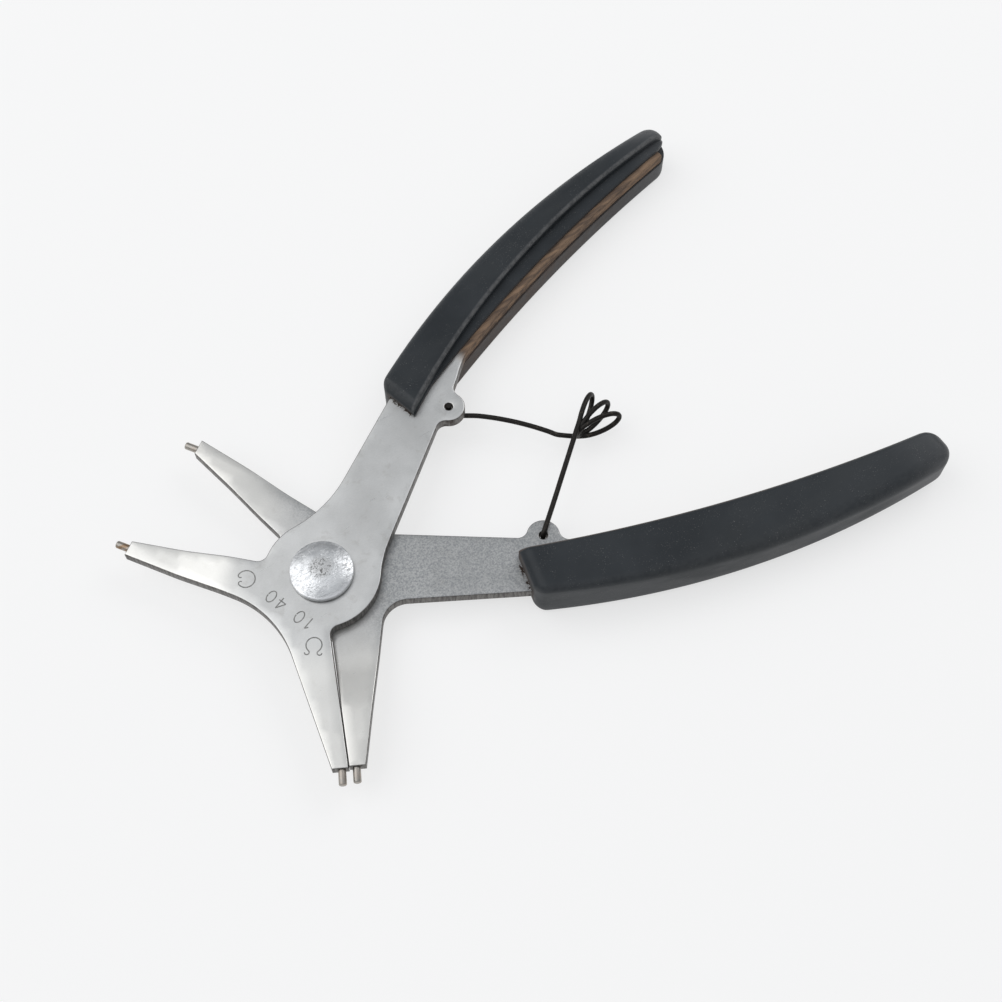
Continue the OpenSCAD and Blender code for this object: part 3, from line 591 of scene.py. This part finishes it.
def engrave(name, strokes):
    """Each stroke is a bar along its path, a width across and from just under the face to just above it."""
    verts, faces = [], []
    for k, line in enumerate(strokes):
        way = np.gradient(line, axis=0)
        across = np.stack([-way[:, 1], way[:, 0]], 1) / np.linalg.norm(way, axis=1, keepdims=True) * MARK_W / 2
        face = sheet_z(line, UPPER_Z, upper_jaws)[:, None] + PLATE_T
        low, high = face - MARK_DOWN, face + MARK_UP + MARK_STAGGER * (k % 3)
        bar = np.stack([np.c_[line + across, low], np.c_[line - across, low],
                        np.c_[line - across, high], np.c_[line + across, high]], 1)
        first, n = sum(len(v) for v in verts), len(line)
        faces += grid_faces(n, 4, True, first)[:, ::-1].tolist()
        after = first + 4 * n
        faces += [list(range(first, first + 4)), list(range(after - 1, after - 5, -1))]
        verts.append(bar.reshape(-1, 3))
    return make_object(name, np.concatenate(verts), faces, False)


strokes = [placed(ring_sign(INNER_SIGN_R, INNER_CURL), INNER_SIGN, INNER_SIGN_A, 1.0),
           placed(ring_sign(OUTER_SIGN_R, OUTER_CURL), OUTER_SIGN, OUTER_SIGN_A, 1.0)]
for name, at in DIGITS:
    strokes += [placed(line, at, DIGIT_A, DIGIT_H) for line in digit(name)]
marks = engrave("stamped_marks", strokes)


def mark_shadow(p):
    """Painted shade for a struck line: the shade in its groove painted as dark, cloudy steel."""
    cloud = noise(p, 1800, 4.0)
    return {"Base Color": cloud.between(0.3, 0.7).mix(GROOVE_SHADE_DARK, GROOVE_SHADE_LIGHT),
            "Roughness": 0.4 + cloud * 0.2}


marks.data.materials.append(finish("mark_shadow", {"Metallic": 1.0}, mark_shadow))
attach(marks, "upper_half")


# The pivot rivet.
# A cold-headed zinc-plated rivet: a low dome with an upright rim above, a peened button below.
# Setting it has scuffed and pitted the crown.
RIVET_R, HEAD_R, HEAD_RIM, HEAD_RISE, HEAD_GAP = 3.0, 6.2, 0.9, 1.6, 0.05
TAIL_R, TAIL_CHAMFER, TAIL_FLAT, TAIL_ROUND, TAIL_GAP = 5.5, 0.8, 2.0, 0.3, 0.02
RIM_R, SEAT_EDGE = 0.35, 0.1
ZINC_DARK, ZINC_LIGHT, ZINC_SPECKLE = (0.66, 0.67, 0.68, 1), (0.84, 0.85, 0.86, 1), (0.45, 0.45, 0.45, 1)
STRUCK_ZINC, CHIP_DARK, RIM_SHADE = (0.42, 0.41, 0.39, 1), (0.07, 0.07, 0.065, 1), (0.08, 0.08, 0.08, 1)


def lathe(name, profile, place=Matrix.Identity(4), sides=96):
    """A turned piece: profile points [radius, height] spun about Z, (r cos t, r sin t, h), then put in place."""
    t = np.linspace(0, 2 * np.pi, sides, endpoint=False)
    profile = np.asarray(profile, float)
    r, h = profile[:, :1], profile[:, 1:]
    rings = np.stack([r * np.cos(t), r * np.sin(t), h + 0 * t], -1).reshape(-1, 3)
    ends = np.array([[0, 0, profile[0, 1]], [0, 0, profile[-1, 1]]])
    n, m = len(rings), len(profile)
    j, k = np.arange(sides), (np.arange(sides) + 1) % sides
    caps = np.concatenate([np.stack([np.full(sides, n), k, j], 1),
                           np.stack([np.full(sides, n + 1), (m - 1) * sides + j, (m - 1) * sides + k], 1)])
    turn, shift = np.array(place.to_3x3()), np.array(place.translation)
    verts = np.concatenate([rings, ends]) @ turn.T + shift
    return make_object(name, verts, grid_faces(m, sides, True).tolist() + caps.tolist())


seat = UPPER_Z + PLATE_T + HEAD_GAP
dome_r = (HEAD_R**2 + HEAD_RISE**2) / (2 * HEAD_RISE)
edge_a = np.arcsin((HEAD_R - RIM_R) / dome_r)
dome = np.linspace(edge_a, 0.01, 28)
dome_z = seat + HEAD_RIM + HEAD_RISE - dome_r
shoulder = np.radians(np.linspace(0, 70, 6))
rim_z = dome_z + dome_r * np.cos(edge_a) - RIM_R * np.sin(shoulder[-1])
rivet = lathe("rivet", np.concatenate([
    [[TAIL_R - TAIL_CHAMFER - TAIL_FLAT, 0], [TAIL_R - TAIL_CHAMFER, 0], [TAIL_R - TAIL_ROUND, TAIL_ROUND],
     [TAIL_R, TAIL_CHAMFER], [TAIL_R, LOWER_Z - TAIL_GAP], [RIVET_R, LOWER_Z - TAIL_GAP], [RIVET_R, seat],
     [HEAD_R - SEAT_EDGE, seat], [HEAD_R, seat + SEAT_EDGE]],
    np.stack([HEAD_R - RIM_R + RIM_R * np.cos(shoulder), rim_z + RIM_R * np.sin(shoulder)], 1)[:-1],
    np.stack([dome_r * np.sin(dome), dome_z + dome_r * np.cos(dome)], 1)]))


def scuffed_zinc(p):
    """Bright zinc, cloudy, pitted and scratched, struck and chipped at the crown, with painted shade round the foot
    of the rim.
    """
    cloud = noise(p, 350, 4.0)
    pits = p.node("ShaderNodeTexVoronoi", None, {"Vector": p, "Scale": 900.0}).between(0.10, 0.22)
    speckle = noise(p, 1500, 5.0, 0.7).between(0.52, 0.66)
    lines = scratches(p, 24, 900, 0.02) + scratches(p, -52, 700, 0.02) + scratches(p, 85, 800, 0.015)
    colour = cloud.between(0.3, 0.7).mix(ZINC_DARK, ZINC_LIGHT)
    colour = (speckle * 0.35).mix(colour, ZINC_SPECKLE)
    struck = 1 - from_rivet(p).between(0.0012, 0.0030)
    chips = struck * noise(p, 2600, 4.0, 0.7).between(0.53, 0.60)
    colour = (struck * 0.35).mix(colour, STRUCK_ZINC)
    colour = (chips * 0.8).mix(colour, CHIP_DARK)
    # Painted shade: the rim's wall darkens toward the plate, where the head meets it.
    rim_shade = 1 - along_axis(p, 2).between(seat * MM, (seat + HEAD_RIM) * MM)
    colour = (rim_shade * 0.85).mix(colour, RIM_SHADE)
    height = cloud * 1.2 + pits * 0.8 - speckle * 0.6 - lines * 0.4 - chips * 2
    bump = p.node("ShaderNodeBump", None, {"Strength": 0.5, "Distance": 0.00006, "Height": height})
    rough = 0.22 + cloud * 0.18 + speckle * 0.15 + lines * 0.05 + struck * 0.1
    return {"Base Color": colour, "Roughness": rough, "Normal": bump}


rivet.data.materials.append(finish("scuffed_zinc", {"Metallic": 1.0}, scuffed_zinc))
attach(rivet, "lower_half")
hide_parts("pivot_rivet")


# The four tip pins.
# Hardened steel pins held by a slim spigot in each jaw's end, shouldered on it and chamfered at the tip.
# They are browned by handling, one more than the others.
PIN_R, PIN_SHOULDER, PIN_OUT, PIN_DEPTH, PIN_INSET, PIN_CHAMFER = 0.75, 0.2, 2.9, 3.5, 1.3, 0.25
PIN_SIDES, FAINT_BROWN, DEEP_BROWN = 40, 0.3, 0.9
PIN_DARK, PIN_LIGHT, PIN_BROWN = (0.36, 0.34, 0.31, 1), (0.52, 0.50, 0.47, 1), (0.27, 0.17, 0.095, 1)


def pin_root(a, side, pin_a):
    """Where a pin leaves its jaw: its line, set in from the gripping side, crossed by the jaw's end."""
    return crossing(on_jaw(a, side, 0, JAW_SIDE_GAP + PIN_INSET), ray(a), end_grip(a, side, pin_a), ray(pin_a + 90))


def browned_steel(brown):
    """Cloudy hardened steel, browned in patches to the given share."""
    def wires(p):
        cloud = noise(p, 700, 4.0)
        tint = cloud.between(0.35, 0.65).mix(PIN_DARK, PIN_LIGHT)
        colour = (cloud.between(0.42, 0.6) * brown).mix(tint, PIN_BROWN)
        bump = p.node("ShaderNodeBump", None, {"Strength": 0.3, "Distance": 0.00003, "Height": noise(p, 3000, 3.0)})
        return {"Base Color": colour, "Roughness": 0.3 + cloud * 0.2, "Normal": bump}

    return wires


pin_steel = {brown: finish(f"pin_steel_{int(brown * 10)}", {"Metallic": 1.0}, browned_steel(brown))
             for brown in (FAINT_BROWN, DEEP_BROWN)}
spigot = PIN_R - PIN_SHOULDER
pin_profile = [[spigot * 0.4, -PIN_DEPTH], [spigot, -PIN_DEPTH], [spigot, 0.01], [PIN_R - 0.04, 0.01], [PIN_R, 0.05],
               [PIN_R, PIN_OUT - PIN_CHAMFER], [PIN_R - 0.09, PIN_OUT - 0.08], [PIN_R - PIN_CHAMFER, PIN_OUT],
               [PIN_R * 0.3, PIN_OUT]]
for node, a, side, pin_a, body, brown in (
        ("internal_pin_upper", UPPER_INTERNAL_A, 1, INTERNAL_PIN_A, "upper_half", DEEP_BROWN),
        ("internal_pin_lower", LOWER_INTERNAL_A, -1, INTERNAL_PIN_A, "lower_half", FAINT_BROWN),
        ("external_pin_upper", EXTERNAL_A, -1, EXTERNAL_PIN_A, "upper_half", FAINT_BROWN),
        ("external_pin_lower", EXTERNAL_A, 1, EXTERNAL_PIN_A, "lower_half", FAINT_BROWN)):
    x, y = pin_root(a, side, pin_a)
    place = Matrix.Translation((x, y, MID_Z)) @ Matrix.Rotation(np.radians(pin_a), 4, "Z")
    pin = lathe("tip_" + node, pin_profile, place @ Matrix.Rotation(np.pi / 2, 4, "Y"), PIN_SIDES)
    pin.data.materials.append(pin_steel[brown])
    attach(pin, body)
    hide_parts(node)


# The two grips.
# One black plastic moulding, used twice, the second turned over: a channel pushed over the tang, with a
# wide lip on one face and a stepped narrow one on the other, rounded outside and more so toward the end.
LIP_FRONT_W, LIP_END_W, LIP_BOW, LIP_RISE, LEDGE_SET = 8.9, 4.6, 0.6, 1.9, 1.6
EDGE_FRONT, EDGE_END, LIP_EDGE, RIDGE_EDGE, GRIP_FIT = 1.4, 3.4, 1.4, 0.8, 0.05
FRONT_SLOPE, FRONT_CORNER = 2.6, 2.2
ROUND = 9  # points in each rounded edge of the section
NOSE_ROWS, BODY_ROWS, END_ROWS, NOSE_A, NOSE_TRIES = 9, 109, 16, 22, 7
EDGE_RUB_HIGHLIGHT, FRONT_RUB_HIGHLIGHT, END_RUB_HIGHLIGHT, TIP_RUB_HIGHLIGHT = 0.15, 0.2, 0.3, 0.6
BLACK_DARK, BLACK_LIGHT, BLACK_SMEAR = (0.025, 0.029, 0.033, 1), (0.037, 0.042, 0.047, 1), (0.040, 0.044, 0.047, 1)
END_DUST_AND_SHEEN_GREY, RUBBED_AND_HIGHLIT_GREY = (0.16, 0.16, 0.163, 1), (0.16, 0.16, 0.16, 1)
STAIN_BROWN, DUST = (0.115, 0.092, 0.08, 1), (0.20, 0.195, 0.19, 1)
slot_low, slot_high = UPPER_Z - GRIP_FIT, UPPER_Z + PLATE_T + GRIP_FIT
slope_low = GRIP_T - slot_high
slot_a = tang_a1 - np.degrees(GRIP_FIT / GRIP_OUT_R)


def grip_section(a):
    """Section at polar angles a as [..., point, (depth, height)]: down the outer side, along the bottom to the
    wide lip, into the slot and out, over the ledge and up its step, and along the narrow face; it shrinks
    round the end."""
    a = np.asarray(a, float)[..., None]
    end_r = GRIP_END_W / 2
    past = np.maximum(0, np.radians(grip_a1 - a) * GRIP_OUT_R)
    run = np.minimum((grip_a0 - a) / (grip_a0 - grip_a1), 1)
    low = end_r - np.sqrt(np.maximum(0.02, end_r**2 - past**2))
    width = grip_width(a)
    high = width - low
    share = (high - low) / width
    back = low + share * (LIP_FRONT_W + (LIP_END_W - LIP_FRONT_W) * run + 4 * LIP_BOW * run * (1 - run))
    foot = np.maximum(low + share * (width - LEDGE_SET), back + 0.25 * share)
    out_e, in_e = share * (EDGE_FRONT + (EDGE_END - EDGE_FRONT) * run), share * LIP_EDGE
    slot = np.where(a < slot_a, back - 0.2 * share, WEB_T - GRIP_FIT)
    over = np.clip(past - end_r + EDGE_END, 0, EDGE_END)
    flat = 1 - (EDGE_END - np.sqrt(EDGE_END**2 - over**2)) / MID_Z
    q = np.radians(np.linspace(0, 90, ROUND))
    qx, qy = 1 - np.cos(q), 1 - np.sin(q)
    one = np.ones_like(a)
    ridge_e, ledge = share * RIDGE_EDGE, (GRIP_T - LIP_RISE) * one
    x = np.concatenate([low, low + out_e * qx, high - in_e * qx[::-1], high, high, slot, slot, foot, foot,
                        foot - 0.15 * share, back, back - ridge_e * qx, low + out_e * qx[::-1], low], -1)
    y = np.concatenate([np.maximum(slope_low, out_e + 0.1), out_e * qy, in_e * qy[::-1], slope_low * one,
                        slot_low * one, slot_low * one, slot_high * one, slot_high * one, ledge - 0.25, ledge,
                        ledge, GRIP_T - ridge_e * qy, GRIP_T - out_e * qy[::-1],
                        np.minimum(slot_high, GRIP_T - out_e - 0.1)], -1)
    return np.stack([x, MID_Z + (y - MID_Z) * flat], -1)


def grip_points(a, section):
    """Points at depth and height of the section, on rays at polar angles a about the outer centre."""
    r, t = GRIP_OUT_R - section[..., 0], np.radians(a)
    return np.stack([out_c[0] + r * np.cos(t), out_c[1] + r * np.sin(t), section[..., 1]], -1)


def drawn_in(section, setback):
    """A section near the front, where both faces fall to the tang and the outer corner draws in, each along
    a quarter of an ellipse over the setback."""
    fall = np.sqrt(1 - (1 - np.minimum(setback / FRONT_SLOPE, 1)) ** 2)
    corner = FRONT_CORNER - np.sqrt(FRONT_CORNER**2 - np.maximum(FRONT_CORNER - setback, 0) ** 2)
    x, z = section[..., 0], section[..., 1]
    x = np.where(x < WEB_T, corner + x * (WEB_T - corner) / WEB_T, x)
    z = np.where(z > slot_high, slot_high + (z - slot_high) * fall, z)
    return np.stack([x, np.where(z < slope_low, slope_low + (z - slope_low) * fall, z)], -1)


m = grip_section(grip_a1).shape[0]
columns = np.arange(m)
nose_a, nose = [], []
for setback in FRONT_SLOPE * (1 - np.cos(np.radians(np.linspace(NOSE_A, 90, NOSE_ROWS)))):
    a = np.full(m, grip_a0 - 1.0)
    for step in range(NOSE_TRIES):
        section = drawn_in(grip_section(a)[columns, columns], setback)
        p = grip_points(a, section)
        over = p[:, :2] @ ray(FRONT_A) - FRONT_D - setback
        across = np.cos(np.radians(a - 90)) * ray(FRONT_A)[0] + np.sin(np.radians(a - 90)) * ray(FRONT_A)[1]
        a = a + np.degrees(over / ((GRIP_OUT_R - section[:, 0]) * across))
    nose_a.append(a)
    nose.append(section)
share = np.linspace(0, 1, BODY_ROWS + 1)[1:, None]
body_a = nose_a[-1] * (1 - share) + slot_a * share
last = np.degrees(np.arcsin(np.radians(grip_a1 - slot_a) * GRIP_OUT_R / (GRIP_END_W / 2)))
round_a = grip_a1 - np.degrees(GRIP_END_W / 2 * np.sin(np.radians(np.linspace(last + 6, 86, END_ROWS))) / GRIP_OUT_R)
rest_a = np.concatenate([body_a, [np.full(m, slot_a - 0.05)], np.repeat(round_a[:, None], m, 1)])
stations = np.concatenate([nose_a, rest_a])
sections = np.concatenate([nose, np.stack([grip_section(rest_a[:, k])[:, k] for k in range(m)], 1)])
skin = grip_points(stations, sections).reshape(-1, 3)
tip_a = grip_a1 - np.degrees(GRIP_END_W / 2 * np.sin(np.radians(88)) / GRIP_OUT_R)
tip = np.append(out_c + (GRIP_OUT_R - GRIP_END_W * 0.42) * ray(tip_a), MID_Z)
rows = len(stations)
wide, mouth = 2 * ROUND + 1, 2 * ROUND + 4
front_faces = [list(range(wide, -1, -1)), [m - 1, mouth, mouth - 1, wide + 1, wide, 0],
               list(range(m - 1, mouth - 1, -1))]
ends = [[rows * m, (rows - 1) * m + (k + 1) % m, (rows - 1) * m + k][::-1] for k in range(m)]
grip_faces = [f[::-1] for f in grid_faces(rows, m, True).tolist() + front_faces + ends]

# Wear and painted highlight by row along the grip and column round its section: the ridge is lightened most, the
# other edges and the upper face's two ends a little, partly as rubbing and partly as painted highlight on the rounded
# edges;
# and the inner side below the tang is stained, most toward the front.
lower_edge, ridge, upper_edge = slice(1, 1 + ROUND), slice(3 * ROUND, 4 * ROUND), slice(4 * ROUND, 5 * ROUND)
upper_face, inner_side = slice(3 * ROUND, 5 * ROUND), slice(14, 24)
front_rows, end_rows = slice(2, 7), slice(-12, None)
swell = np.sin(np.linspace(0, np.pi, ROUND))
rub_and_highlight = np.zeros((rows, m))
rub_and_highlight[:, ridge] = swell
rub_and_highlight[:, upper_edge] = rub_and_highlight[:, lower_edge] = EDGE_RUB_HIGHLIGHT * swell
rub_and_highlight[front_rows, upper_face] += FRONT_RUB_HIGHLIGHT
rub_and_highlight[end_rows, upper_face] += END_RUB_HIGHLIGHT
stained = np.zeros((rows, m))
fade = np.interp(np.arange(rows), [0, 0.5 * rows, 0.8 * rows, rows], [1, 0.9, 0.25, 0.1])
stained[:, inner_side] = fade[:, None]


def black_plastic(p):
    """Satin black, cloudy and smeared, greyer at the end and on its rounded edges, partly wear and dust and partly
    painted sheen and highlight, stained, dusty and scratched.
    """
    rub_and_highlight_here = stored(p, "rub_and_highlight")
    cloud = noise(p, 60, 3.0)
    pebble = noise(p, 2600, 3.0)
    smear = noise(turned(p, 20, (0.3, 1, 1)), 140, 4.0).between(0.45, 0.72)
    dust = noise(p, 4200, 2.0).between(0.64, 0.70) * noise(p, 260, 3.0).between(0.42, 0.62)
    colour = cloud.between(0.3, 0.7).mix(BLACK_DARK, BLACK_LIGHT)
    colour = (smear * 0.5).mix(colour, BLACK_SMEAR)
    # The end greys: partly dust and wear, partly a painted sheen on its rounded top.
    end = along_axis(p, 0).between(0.103, 0.116)
    colour = (end * (0.22 + smear * 0.6)).mix(colour, END_DUST_AND_SHEEN_GREY)
    # The rubbed places are lightened: partly wear, partly painted highlight on the rounded edges and face ends.
    worn = rub_and_highlight_here * (0.45 + noise(p, 900, 4.0, 0.65).between(0.36, 0.62) * 0.55)
    colour = (worn * 0.8).mix(colour, RUBBED_AND_HIGHLIT_GREY)
    brown = stored(p, "stained") * (0.45 + noise(p, 420, 4.0).between(0.3, 0.65) * 0.5)
    colour = brown.mix(colour, STAIN_BROWN)
    colour = (dust * 0.6).mix(colour, DUST)
    lines = scratches(p, 28, 350, 0.012) + scratches(p, -20, 260, 0.01)
    height = pebble * 0.5 + cloud * 3 - lines * 0.4 + dust
    bump = p.node("ShaderNodeBump", None, {"Strength": 0.25, "Distance": 0.00004, "Height": height})
    rough = 0.33 + cloud * 0.1 + smear * 0.14 + worn * 0.15 + brown * 0.3 + dust * 0.2 - lines * 0.04
    return {"Base Color": colour, "Roughness": rough, "Normal": bump}


plastic = finish("black_grip_plastic", {"Metallic": 0.0, "IOR": 1.45, "Specular IOR Level": 0.22}, black_plastic)
moulding = np.vstack([skin, tip])
turned_over = moulding * np.array([1, -1, -1]) + np.array([0, 0, GRIP_T])
for name, node, body, points in (("moulded_upper_grip", "upper_grip", "upper_half", moulding),
                                 ("moulded_lower_grip", "lower_grip", "lower_half", turned_over)):
    grip = make_object(name, points, grip_faces, True, 50)
    store(grip, "rub_and_highlight", np.append(np.minimum(rub_and_highlight, 1).ravel(), TIP_RUB_HIGHLIGHT))
    store(grip, "stained", np.append(stained.ravel(), 0))
    grip.data.materials.append(plastic)
    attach(grip, body)
    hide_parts(node)


# The return spring.
# One black wire: hooked down through the upper lug, run along a leg, wound in three upright loops that fan
# out from one side, and run along the other leg into the lower lug.
WIRE_R, WIRE_GAP, SPRING_AT, SPRING_SIDE = 0.525, 0.05, 59.0, 2.2
LOOP_LEN, LOOP_H, LOOP_FIRST_A, LOOP_LAST_A, LOOP_IN = 9.6, 4.4, -9.0, 36.0, 60.0
HOOK_R, HOOK_OUT, LEG_BOW, LEG_BOW_A, LEG_TURN, LEG_CLIMB, KNEE = 1.0, 0.3, 1.1, 55, 4, 0.8, 2.2
TURNS, TURN_STEP, WIRE_STEP, WIRE_SIDES, LUG_HOLD = 3, 7.5, 0.22, 14, 5.0
OXIDE_DARK, OXIDE_LIGHT, OXIDE_WORN = (0.014, 0.013, 0.012, 1), (0.032, 0.028, 0.025, 1), (0.12, 0.10, 0.08, 1)
wire_low, wire_high = UPPER_Z - WIRE_GAP - WIRE_R, LOWER_Z + PLATE_T + WIRE_GAP + WIRE_R
loop_c, lug_b = np.array([SPRING_AT, -SPRING_SIDE]), flip(lug_c)


def loop_point(t):
    """The loops: an upright ring of length LOOP_LEN and height LOOP_H whose plan angle grows turn by turn."""
    t = np.asarray(t, float)
    a = np.radians(LOOP_FIRST_A + (LOOP_LAST_A - LOOP_FIRST_A) * (t - 180) / (360 * (TURNS - 1)))
    rho = LOOP_LEN * (1 - np.cos(np.radians(t))) / 2
    height = MID_Z - LOOP_H / 2 * np.sin(np.radians(t))
    return np.stack([loop_c[0] + rho * np.cos(a), loop_c[1] + rho * np.sin(a), height], -1)


loop_out = 360 * TURNS - LOOP_IN
start, end = loop_point(LOOP_IN), loop_point(loop_out)
leg_a = unit(loop_c - lug_c)
leg_b = unit(lug_b - end[:2])
turn_a = loop_c - LEG_TURN * leg_a
quarter = np.radians(np.linspace(0, 90, 9))[:, None]
hook_a = np.c_[lug_c + HOOK_R * (1 - np.cos(quarter)) * leg_a, wire_low + HOOK_R * (1 - np.sin(quarter))]
t = np.array([0.25, 0.5, 0.75, 0.92])[:, None]
leg_bow = 4 * t * (1 - t) * LEG_BOW * ray(LEG_BOW_A)
climb = (start[2] - wire_low) * LEG_CLIMB
run_a = np.c_[(lug_c + HOOK_R * leg_a) * (1 - t) + turn_a * t + leg_bow, wire_low + climb * t]
t = np.arange(0, 1, 0.125)[:, None]
knee = start - KNEE * unit(loop_point(LOOP_IN + 4) - start)
bow_from = np.append(turn_a, wire_low + climb)
bow = (1 - t) ** 2 * bow_from + 2 * t * (1 - t) * knee + t**2 * start
loops = loop_point(np.arange(LOOP_IN, loop_out + 1, TURN_STEP))
t = np.array([0.1, 0.25, 0.5, 0.75])[:, None]
run_b = np.c_[end[:2] * (1 - t) + (lug_b - HOOK_R * leg_b) * t,
              end[2] + (wire_high - end[2]) * np.minimum(1, 1.33 * t)]
quarter = quarter[::-1]
hook_b = np.c_[lug_b - HOOK_R * (1 - np.cos(quarter)) * leg_b, wire_high - HOOK_R * (1 - np.sin(quarter))]
wire = np.concatenate([[[*lug_c, UPPER_Z + PLATE_T + HOOK_OUT]], hook_a, run_a, bow, loops, run_b, hook_b,
                       [[*lug_b, LOWER_Z - HOOK_OUT]]])


def smooth_path(path, step):
    """A cubic (Catmull-Rom by arc length) through the points, sampled about every step."""
    s = np.concatenate([[0], np.cumsum(np.linalg.norm(np.diff(path, axis=0), axis=1))])
    slope = np.gradient(path, s, axis=0)
    u = np.linspace(0, s[-1], int(s[-1] / step))
    i = np.clip(np.searchsorted(s, u, side="right") - 1, 0, len(s) - 2)
    h = (s[i + 1] - s[i])[:, None]
    x = ((u - s[i])[:, None]) / h
    return (path[i] * (2 * x**3 - 3 * x**2 + 1) + path[i + 1] * (3 * x**2 - 2 * x**3)
            + slope[i] * h * (x**3 - 2 * x**2 + x) + slope[i + 1] * h * (x**3 - x**2)), u


def tube(name, path, r, sides):
    """A round wire: circles of radius r square to the path, their start carried along without twisting."""
    way = np.gradient(path, axis=0)
    way /= np.linalg.norm(way, axis=1, keepdims=True)
    side = np.empty_like(path)
    v = np.array([1.0, 0, 0])
    for i, w in enumerate(way):
        v = unit(v - (v @ w) * w)
        side[i] = v
    other = np.cross(way, side)
    t = np.linspace(0, 2 * np.pi, sides, endpoint=False)
    rings = path[:, None] + r * (np.cos(t)[None, :, None] * side[:, None] + np.sin(t)[None, :, None] * other[:, None])
    n = len(path)
    caps = [list(range(sides))[::-1], [(n - 1) * sides + j for j in range(sides)]]
    return make_object(name, rings.reshape(-1, 3), grid_faces(n, sides, True).tolist() + caps, True, 50)


path, reach = smooth_path(wire, WIRE_STEP)
spring = tube("wire_spring", path, WIRE_R, WIRE_SIDES)


def black_oxide(p):
    """Cloudy black oxide, worn to brown in spots."""
    cloud = noise(p, 300, 4.0)
    worn = noise(p, 1400, 4.0).between(0.58, 0.7)
    colour = cloud.mix(OXIDE_DARK, OXIDE_LIGHT)
    colour = (worn * 0.4).mix(colour, OXIDE_WORN)
    bump = p.node("ShaderNodeBump", None, {"Strength": 0.3, "Distance": 0.00003, "Height": noise(p, 2500, 3.0)})
    return {"Base Color": colour, "Roughness": 0.34 + cloud * 0.2, "Normal": bump}


spring.data.materials.append(finish("black_oxide_wire", {"Metallic": 0.75}, black_oxide))
loops_from = np.argmin(np.linalg.norm(path - start, axis=1))
loops_to = np.argmin(np.linalg.norm(path - end, axis=1))
# A share along the wire: 0 by the upper lug, a half along the loops and 1 by the lower lug.
weight = np.interp(reach, [LUG_HOLD, reach[loops_from], reach[loops_to], reach[-1] - LUG_HOLD], [0, 0.5, 0.5, 1])
tuple(lug_c * MM) + (0,)
tuple(lug_b * MM) + (0,)
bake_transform(spring)
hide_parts("return_spring")


# The studio.
# A white table under a large soft box at the left and a weaker one at the right, in a grey room that is brighter
# above. The table glows for the camera and in reflections, and the camera sees the room's far side as white.
TABLE_SIZE, TABLE_DROP, TABLE_GLOW, TABLE_WHITE = 3.0, 0.00002, 0.64, (0.96, 0.955, 0.95, 1)
ROOM_LOW, ROOM_HIGH = (0.17, 0.17, 0.17, 1), (0.46, 0.475, 0.495, 1)
ROOM_TOP, ROOM_SEEN = (0.80, 0.82, 0.85, 1), (0.96, 0.96, 0.962, 1)
TOOL_MIDDLE = (0.03, 0, 0)
camera_at, look_at = Vector((-0.03798, -0.11602, 0.2795)), Vector((0.03924, -0.00367, 0))
right = Vector((0.8241, -0.5664, 0))
camera = bpy.data.cameras.new("camera")
camera.lens, camera.sensor_width, camera.clip_start = 55.19, 36.0, 0.01
view = bpy.data.objects.new("camera", camera)
ahead = (look_at - camera_at).normalized()
right = (right - right.dot(ahead) * ahead).normalized()
up = right.cross(ahead)
view.matrix_world = Matrix.Translation(camera_at) @ Matrix((right, up, -ahead)).transposed().to_4x4()
bpy.context.scene.collection.objects.link(view)
bpy.context.scene.camera = view

floor_mesh = bpy.data.meshes.new("table")
corners = [(x * TABLE_SIZE, y * TABLE_SIZE, -TABLE_DROP) for x, y in ((-1, -1), (1, -1), (1, 1), (-1, 1))]
floor_mesh.from_pydata(corners, [], [(0, 1, 2, 3)])
floor = bpy.data.objects.new("table", floor_mesh)
bpy.context.scene.collection.objects.link(floor)
table = bpy.data.materials.new("white_table")
table.use_nodes = True
tree = table.node_tree
tree.nodes.clear()
w = Wire(tree)
seen = w.node("ShaderNodeLightPath", None, None, 0) + w.node("ShaderNodeLightPath", None, None, 3)
lit = w.node("ShaderNodeBsdfDiffuse", None, {"Color": TABLE_WHITE})
glow = w.node("ShaderNodeEmission", None, {"Color": (1, 1, 1, 1), "Strength": 1.0})
both = w.node("ShaderNodeMixShader", None, {0: seen.capped() * TABLE_GLOW, 1: lit, 2: glow})
w.node("ShaderNodeOutputMaterial", None, {"Surface": both})
floor_mesh.materials.append(table)

world = bpy.data.worlds.new("grey_room")
bpy.context.scene.world = world
world.use_nodes = True
way = Wire(world.node_tree, world.node_tree.nodes.new("ShaderNodeTexCoord").outputs["Generated"])
height = along_axis(way, 2)
room = height.between(-0.1, 0.7).mix(ROOM_LOW, ROOM_HIGH)
room = height.between(0.84, 1.02).mix(room, ROOM_TOP)
room = way.node("ShaderNodeLightPath").mix(room, ROOM_SEEN)
world.node_tree.links.new(room.socket, world.node_tree.nodes["Background"].inputs["Color"])


def soft_box(name, at, aim, size, watts):
    """A square area lamp of the given side, turned to face a point."""
    lamp = bpy.data.lights.new(name, "AREA")
    lamp.shape, lamp.size, lamp.energy = "SQUARE", size, watts
    obj = bpy.data.objects.new(name, lamp)
    facing = (Vector(at) - Vector(aim)).to_track_quat("Z", "Y")
    obj.matrix_world = Matrix.Translation(at) @ facing.to_matrix().to_4x4()
    bpy.context.scene.collection.objects.link(obj)


soft_box("main_box", (-0.66, 0.62, 0.95), TOOL_MIDDLE, 1.45, 7.8)
soft_box("side_box", (0.75, 0.1, 0.6), TOOL_MIDDLE, 0.5, 1.5)
bpy.context.scene.view_settings.view_transform = "Standard"
